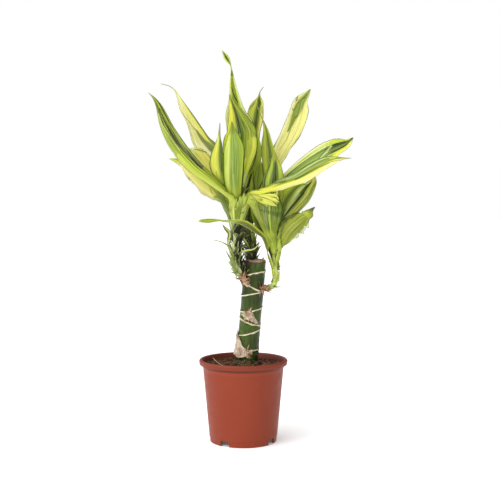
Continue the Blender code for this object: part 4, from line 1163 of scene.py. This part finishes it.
def add_cane():
    """The trunk from inside the soil to its slanting cut, in rings with a scar and a cut mask."""
    bearings = np.linspace(0, 360, CANE_SIDES, endpoint=False)[None, :]
    side = np.linspace(90.0, CANE_TOP[2] - 0.9, CANE_ROWS)
    end_inset, end_cut = [0.985, 0.95, 0.88, 0.7, 0.45, 0.2, 0.02], [0.2, 0.4, 0.6, 0.75, 1, 1, 1]
    height = np.concatenate([[CANE_FOOT[2]], side, [CANE_TOP[2] - 0.3] + [CANE_TOP[2]] * 6])[:, None]
    inset = np.concatenate([[1.0], np.ones(len(side)), end_inset])[:, None]
    cut = np.concatenate([[0.0], np.zeros(len(side)), end_cut])[:, None]
    radius = (cane_radius(height, bearings) - 0.2) * inset
    out = bearing_vector(np.broadcast_to(bearings, radius.shape))
    rings = cane_axis(np.broadcast_to(height, radius.shape)) + out * radius[..., None]
    slanted = ease((height - CANE_TOP[2]) / CUT_REACH + 1.0)
    rings[..., 2] += CUT_SLOPE * (rings[..., 1] - CANE_TOP[1]) * slanted
    rough = roughness_noise(rings, 0.16, 1)
    rings += out * (BARK_ROUGHNESS * rough * (cut < 0.5))[..., None]
    masks = {
        "turn": np.sin(np.radians(bearings / 2)) * 3,
        "height": height / 100,
        "scar": scar_at(height + 0.6 * rough, bearings, 1.05 + 0.8 * rough),
        "cut": cut,
    }
    belongs(skin("cane_bark", rings, cane_material(), masks), "cane", "cane")


def add_husk(name, material, seed):
    """A papery scrap that hugs the cane, with frayed edges."""
    bearings, lower, upper, curl = HUSKS[name]
    side, up = np.meshgrid(np.linspace(0, 1, HUSK_COLUMNS), np.linspace(0, 1, HUSK_ROWS))
    bearing = bearings[0] + (bearings[1] - bearings[0]) * side
    low, high = through(lower, side), through(upper, side)
    height = low + (high - low) * up
    flat = np.stack([bearing * 0.3, height, np.zeros_like(height)], axis=-1)
    fray = roughness_noise(flat * [1, 0.1, 1], 0.9, seed)
    height = height + HUSK_FRAY * fray * (2 * up - 1) ** 2
    crumple = roughness_noise(flat, 0.35, seed + 3) + 0.5 * roughness_noise(flat, 0.9, seed + 5)
    lift = GAP + HUSK_LIFT + curl * (1 - up) ** 2 + HUSK_CRUMPLE * crumple
    sheets = []
    for off in (HUSK_THICKNESS / 2, -HUSK_THICKNESS / 2):
        radius = cane_radius(height, bearing) + lift + off
        sheets.append(cane_axis(height) + bearing_vector(bearing) * radius[..., None])
    rings = np.concatenate([sheets[0], sheets[1][:, ::-1]], axis=1)
    masks = {
        "turn": np.concatenate([side, side[:, ::-1]], axis=1),
        "height": np.concatenate([up, up[:, ::-1]], axis=1),
    }
    belongs(skin(name + "_paper", rings, material, masks), "husk", name)


def tube_rings(line, radii, sides):
    """Rings round a line, square to it."""
    ahead = np.gradient(line[:, :3], axis=0)
    ahead /= np.linalg.norm(ahead, axis=1)[:, None]
    start = across((0.3, -1.0, 0.1), ahead[0])
    turns = np.linspace(0, 2 * math.pi, sides, endpoint=False)
    rings = []
    for place, way, radius in zip(line[:, :3], ahead, radii):
        start = across(start, way)
        other = np.cross(way, start)
        rings.append(place + (np.outer(np.cos(turns), start) + np.outer(np.sin(turns), other)) * radius)
    return np.array(rings)


def add_stem(shoot, material, dry):
    """A ringed stem, and the dry stubs of its shed leaves."""
    line = stem_line(shoot, STEM_POINTS)
    level = np.linspace(0, line_length(line), len(line))
    band = (level % LEAF_RING_GAP) / LEAF_RING_GAP
    swell = 1.0 * (1 - ease(level / 16.0))
    radii = np.array([stem_radius(shoot, x) for x in level]) - 0.2 + swell - 0.2 * band
    masks = {
        "turn": np.sin(np.linspace(0, 2 * math.pi, STEM_SIDES, endpoint=False))[None, :],
        "band": band[:, None],
        "foot": (1 - ease(level / STEM_FEET[shoot]))[:, None],
    }
    stem = skin(shoot + "_stem_skin", tube_rings(line, radii, STEM_SIDES), material, masks)
    belongs(stem, "stem", shoot + "_stem")
    for i, (foot, bearing, length) in enumerate(STUBS[shoot]):
        centre, up = point_at(line[:, :3], foot)
        out = across(bearing_vector(bearing), up)
        root = centre + out * (stem_radius(shoot, foot) - 1.0)
        path = [root + out * length * reach + up * length * rise
                for reach, rise in ((0.0, 0.0), (0.4, 0.1), (0.8, 0.35), (0.95, 0.6))]
        rings = tube_rings(smooth_line(path, 14), np.linspace(1.5, 0.2, 14), 10)
        belongs(skin(f"{shoot}_stub_{i + 1}", rings, dry, {"turn": 0.0, "band": 0.3, "foot": 0.0}), "stem")


def ribbon_rings(path, face, thick, count, sides=10):
    """A thin band along a path whose points have a width, with its flat side towards face."""
    line = smooth_line(path, count)
    ahead = np.gradient(line[:, :3], axis=0)
    turns = np.linspace(0, 2 * math.pi, sides, endpoint=False)
    rings = []
    for point, way in zip(line, ahead):
        way = way / np.linalg.norm(way)
        flat = across(face, way)
        side = np.cross(way, flat)
        half = max(point[3], 0.2) / 2
        cupped = np.outer(-0.35 * half * np.cos(turns) ** 2, flat)
        wide, deep = np.outer(np.cos(turns) * half, side), np.outer(np.sin(turns) * thick / 2, flat)
        rings.append(point[:3] + wide + deep + cupped)
    return np.array(rings)


def ribbons(name, bands, slot, material, *nodes):
    """Many bands as one piece, with masks for across, along and each band's own shade."""
    points, faces, masks, first = [], [], [], 0
    draw = random.Random(len(bands))
    for rings in bands:
        count, ring = rings.shape[:2]
        turns = np.linspace(0, 2 * math.pi, ring, endpoint=False)
        faces += tube_faces(count, ring, first)
        points.append(rings.reshape(-1, 3) * MM)
        turn = np.broadcast_to(np.cos(turns)[None, :], (count, ring))
        along = np.broadcast_to(np.linspace(0, 1, count)[:, None], (count, ring))
        masks.append(np.stack([turn, along, np.full((count, ring), draw.random())], axis=-1).reshape(-1, 3))
        first += count * ring
    mesh = bpy.data.meshes.new(name)
    mesh.from_pydata(np.vstack(points), [], faces)
    for mask, values in zip(("turn", "height", "shade"), np.vstack(masks).T):
        give_mask(mesh, mask, values)
    belongs(piece(name, mesh, material), slot, *nodes)


def sheath_material(name, pale, dark, tip, seed):
    """Dead sheaths and torn fibres: each band between two colours, streaked, with a third at its tip and
    painted shade along its edges.
    """
    material, wiring, shader = new_material(name)
    turn, height, shade = wiring.mask("turn"), wiring.mask("height"), wiring.mask("shade")
    fibres = grain(wiring, turn, height, 6.0, 2.0, seed)["Value"]
    mixed = wiring.math("ADD", shade, wiring.math("MULTIPLY_ADD", fibres, 1.2, -0.6))
    colour = wiring.lay(as_seen(dark), pale, mixed, 0.25, 0.75)
    colour = wiring.lay(colour, tip, height, 0.6, 1.0)
    # Painted shade: each band's long edges are darker, for the shade between overlapping bands.
    edge = tuple(c * 0.6 for c in dark)
    colour = wiring.lay(colour, edge, wiring.math("ABSOLUTE", turn), 0.7, 1.0, 0.75)
    finish(wiring, shader, colour, 0.8, fibres, 0.25, 0.25)
    return material


def add_sheaths(name, shoot, levels, bearings, length, width, lean, material, seed):
    """Pointed remains of leaf bases set round a stem, each a golden turn on from the last."""
    draw = random.Random(seed)
    line = stem_line(shoot, STEM_POINTS)
    bands = []
    first, last, count = levels
    for i in range(count):
        level = first + (last - first) * i / (count - 1)
        bearing = bearings[0] + (i * GOLDEN_TURN) % (bearings[1] - bearings[0])
        centre, up = point_at(line[:, :3], level)
        out = across(bearing_vector(bearing), up)
        reach = length * draw.uniform(0.7, 1.3)
        tilt = lean * draw.uniform(0.5, 1.4)
        sway = np.cross(up, out) * draw.uniform(-0.25, 0.25) * reach
        root = centre + out * (stem_radius(shoot, level) - 0.4)
        wide = width * draw.uniform(0.7, 1.2)
        path = [(*root, wide), (*(root + up * reach * 0.4 + out * tilt * 0.35), wide * 0.85),
                (*(root + up * reach * 0.75 + out * tilt * 0.8 + sway * 0.5), wide * 0.45),
                (*(root + up * reach * 0.95 + out * tilt * 1.3 + sway), 0.4)]
        bands.append(ribbon_rings(path, -out, 0.6, 14))
    ribbons(name, bands, "stem", material)


def add_crown_bundle(material):
    """Young sheaths that fan out from the top of the left stem, in front of the blades' feet."""
    draw = random.Random(17)
    bands = []
    for i in range(CROWN_SHEATHS):
        share = i / (CROWN_SHEATHS - 1)
        foot, top = -12.0 + 10.0 * share, -17.5 + 30.0 * share
        rise = 28.0 + 13.0 * share + draw.uniform(-4.0, 4.0)
        near = CROWN_FRONT - 2.5 * math.sin(math.pi * share)
        wide = draw.uniform(0.55, 0.95)
        path = [(foot + reach * (top - foot), near - forward, CROWN_FOOT + up * rise, width)
                for reach, forward, up, width in ((0.0, 0.0, 0.0, 6.0 * wide), (0.35, 2.5, 0.4, 10.0 * wide),
                                                  (0.75, 5.0, 0.75, 8.0 * wide), (1.0, 7.0, 1.0, 1.0))]
        bands.append(ribbon_rings(path, (0.1, -1, -0.2), 0.6, 14))
    ribbons("left_crown_bundle", bands, "stem", material)


def add_folded_strips(material):
    """The torn end of right_leaf_4."""
    bands = [ribbon_rings(rows(path), (0.1, -1, 0.3), 0.5, 16) for path in FOLDED_STRIPS]
    ribbons("right_leaf_4_fold", bands, "leaf", material)


def add_fibres(name, centre, outward, upward, count, reach, spread, material, seed, *nodes):
    """Torn fibres that splay from one place."""
    draw = random.Random(seed)
    out, up = across(outward, np.array((0, 0, 1.0))), np.array(upward, float)
    side = np.cross(up, out)
    bands = []
    for i in range(count):
        turn = math.radians(spread * (2 * (i + draw.random()) / count - 1))
        way = up * math.cos(turn) + side * math.sin(turn)
        start = np.array(centre) + side * draw.uniform(-3.0, 3.0) + up * draw.uniform(-2.5, 1.0)
        far = reach * draw.uniform(0.5, 1.2)
        lift = draw.uniform(0.2, 1.6)
        wide = draw.uniform(0.9, 2.4)
        path = [(*start, wide), (*(start + way * far * 0.5 + out * lift * 0.7), wide * 0.9),
                (*(start + way * far + out * lift * 1.6), 0.3)]
        bands.append(ribbon_rings(path, out, 0.4, 12))
    ribbons(name, bands, "husk", material, *nodes)


def soil_height(x, y):
    """Height of the soil, which is heaped round the cane."""
    out = np.hypot(x, y) / SOIL_RADIUS
    return SOIL_EDGE_HEIGHT + SOIL_MOUND * (1 - ease(out * 1.05))


def add_soil(material):
    """A closed lump with a clodded top."""
    sides = 150
    turns = np.linspace(0, 2 * math.pi, sides, endpoint=False)[None, :]
    outs = np.concatenate([[0.96, 1.0], np.linspace(1.0, 0.02, 46)])[:, None]
    heights = np.concatenate([[60.0, 99.0], np.zeros(46)])[:, None]
    x, y = outs * SOIL_RADIUS * np.cos(turns), outs * SOIL_RADIUS * np.sin(turns)
    top = soil_height(x, y)
    points = np.stack([x, y, top], axis=-1)
    clods = 1.5 * roughness_noise(points, 0.16, 5) + 0.7 * roughness_noise(points, 0.5, 6)
    points[..., 2] = np.where(heights > 0, heights, top + clods * (1 - outs**6))
    belongs(skin("soil_lump", points, material), "soil", "soil")


def add_crumbs(material):
    """Loose crumbs of peat on the soil."""
    draw = random.Random(4)
    noise.seed_set(4)  # noise_vector takes its offsets from this
    bm = bmesh.new()
    for _ in range(CRUMBS):
        turn, out = draw.uniform(0, math.tau), math.sqrt(draw.uniform(0.09, 0.93)) * SOIL_RADIUS
        size = draw.uniform(0.5, 1.6)
        x, y = out * math.cos(turn), out * math.sin(turn)
        place = Vector((x, y, float(soil_height(x, y)) + 0.3))
        turned = draw.uniform(0, math.tau)
        spin = Matrix.Rotation(turned, 4, Vector((draw.uniform(-1, 1), draw.uniform(-1, 1), 1)))
        shape = Matrix.Diagonal((size, size * draw.uniform(0.5, 1), size * draw.uniform(0.4, 0.8), 1))
        pose = Matrix.Translation(place) @ spin @ shape
        bmesh.ops.create_icosphere(bm, subdivisions=1, radius=1.0, matrix=pose)
    for vertex in bm.verts:
        vertex.co += Vector(noise.noise_vector(vertex.co * 0.9)) * 0.4
    bm.transform(Matrix.Scale(MM, 4))
    belongs(piece("soil_crumbs", from_bmesh("soil_crumbs", bm), material), "soil")


def add_moss(material):
    """Tufts of moss in front of the cane."""
    draw = random.Random(9)
    bm = bmesh.new()
    for _ in range(MOSS_TUFTS):
        x, y = draw.gauss(0.0, 9.0), draw.gauss(-24.0, 7.0)
        foot = Vector((x, y, float(soil_height(x, y)) + 0.2))
        for _ in range(draw.randint(5, 9)):
            turn = draw.uniform(0, math.tau)
            out = Vector((math.cos(turn), math.sin(turn), draw.uniform(0.4, 1.5))).normalized()
            side = out.cross(Vector((0, 0, 1))).normalized() * draw.uniform(0.35, 0.6)
            reach = draw.uniform(1.4, 3.2)
            up = side.cross(out).normalized() * 0.15
            middle, tip = foot + out * reach * 0.5, foot + out * reach + Vector((0, 0, -0.3))
            corners = (foot, middle + side, tip, middle - side, middle + up, middle - up)
            ring = [bm.verts.new(corner) for corner in corners]
            for a, b in ((0, 1), (1, 2), (2, 3), (3, 0)):
                bm.faces.new((ring[a], ring[b], ring[4]))
                bm.faces.new((ring[b], ring[a], ring[5]))
    bm.transform(Matrix.Scale(MM, 4))
    belongs(piece("moss", from_bmesh("moss", bm), material), "soil")


def add_straw(material):
    """A thin stalk that lies from the rim to the soil."""
    path = smooth_line(rows(STRAW), 16)
    belongs(skin("straw", tube_rings(path, np.full(16, 0.3), 8), material, {"turn": 0.0}), "husk")


def add_stage():
    """Pale floor, soft studio lights and the photograph's camera."""
    bm = bmesh.new()
    bmesh.ops.create_circle(bm, cap_ends=True, segments=64, radius=FLOOR_RADIUS)
    white = plain_material("pale_floor", FLOOR_WHITE, FLOOR_WHITE, 0.9, 4.0)
    shader = white.node_tree.nodes["Principled BSDF"].inputs
    shader["Emission Color"].default_value = (1, 1, 1, 1)
    shader["Emission Strength"].default_value = FLOOR_GLOW
    floor = piece("floor", from_bmesh("floor", bm), white)

    world = bpy.data.worlds.new("studio")
    bpy.context.scene.world = world
    world.use_nodes = True
    wiring = Wiring(world.node_tree)
    way = wiring.add("ShaderNodeTexCoord").outputs["Generated"]
    light_way = Vector(LIGHT_FROM).normalized()
    facing = wiring.add("ShaderNodeVectorMath", {0: way, 1: light_way}, operation="DOT_PRODUCT")
    soft_light = wiring.step(facing.outputs["Value"], -0.4, 1.0, *LIGHT_RANGE)
    seen = wiring.add("ShaderNodeLightPath").outputs["Is Camera Ray"]
    strength = wiring.add("ShaderNodeMix", {0: seen, 2: soft_light, 3: 1.0}, data_type="FLOAT")
    background = world.node_tree.nodes["Background"].inputs
    wiring.give(background["Strength"], strength.outputs[0])
    background["Color"].default_value = (1, 1, 1, 1)

    data = bpy.data.lights.new("key", "SUN")
    data.energy = KEY_STRENGTH
    data.angle = math.radians(KEY_SPREAD)
    placed("key", data).rotation_euler = Vector(LIGHT_FROM).to_track_quat("Z", "Y").to_euler()

    data = bpy.data.cameras.new("camera")
    data.sensor_width = SENSOR
    data.lens = FOCAL_PIXELS / FRAME_PIXELS * SENSOR
    data.shift_y = HORIZON_ROW / FRAME_PIXELS - 0.5
    camera = placed("camera", data)
    camera.location = [c * MM for c in CAMERA_PLACE]
    camera.rotation_euler = (math.radians(90), 0, 0)
    bpy.context.scene.camera = camera
    bpy.context.scene.view_settings.view_transform = "Standard"


def fill_pot():
    """Soil with its crumbs, moss and a straw."""
    peat = soil_material()
    add_soil(peat)
    add_crumbs(peat)
    add_moss(plain_material("moss_green", (122, 138, 84), (58, 80, 44), 0.8, 300.0))
    add_straw(plain_material("straw", (206, 186, 140), (168, 140, 96), 0.8, 200.0))


def dress_cane(bands):
    """Papery scraps and torn fibres on the cane."""
    pale_paper = husk_material("pale_paper", (216, 200, 176), (166, 142, 120), 1.0)
    for i, name in enumerate(HUSKS):
        add_husk(name, pale_paper, i + 1)
    for name, (centre, outward, upward, count, reach, spread, band, seed, *nodes) in FIBRES.items():
        add_fibres(name, centre, outward, upward, count, reach, spread, bands[band], seed, *nodes)


def dress_stems(bands):
    """The dead and young sheaths round the stems."""
    for name, (shoot, levels, bearings, length, width, lean, band, seed) in SHEATHS.items():
        add_sheaths(name, shoot, levels, bearings, length, width, lean, bands[band], seed)
    add_crown_bundle(bands["crown_sheath"])


def add_stems():
    """The three stems with their dry stubs."""
    dry = stem_material("dry_stub", *STUB_COLOURS)
    for shoot, colours in STEM_COLOURS.items():
        add_stem(shoot, stem_material(f"{shoot}_stem_green", *colours), dry)


def build():
    bands = {name: sheath_material(name, *colours) for name, colours in BAND_COLOURS.items()}
    add_stage()
    add_pot()
    fill_pot()
    add_cane()
    dress_cane(bands)
    dress_stems(bands)
    add_folded_strips(bands["folded_leaf"])
    add_stems()
    for i, node in enumerate(LEAVES):
        add_leaf(node, SHAPES.get(node, {}), LOOKS.get(node, PLAIN), i + 1.0)


build()
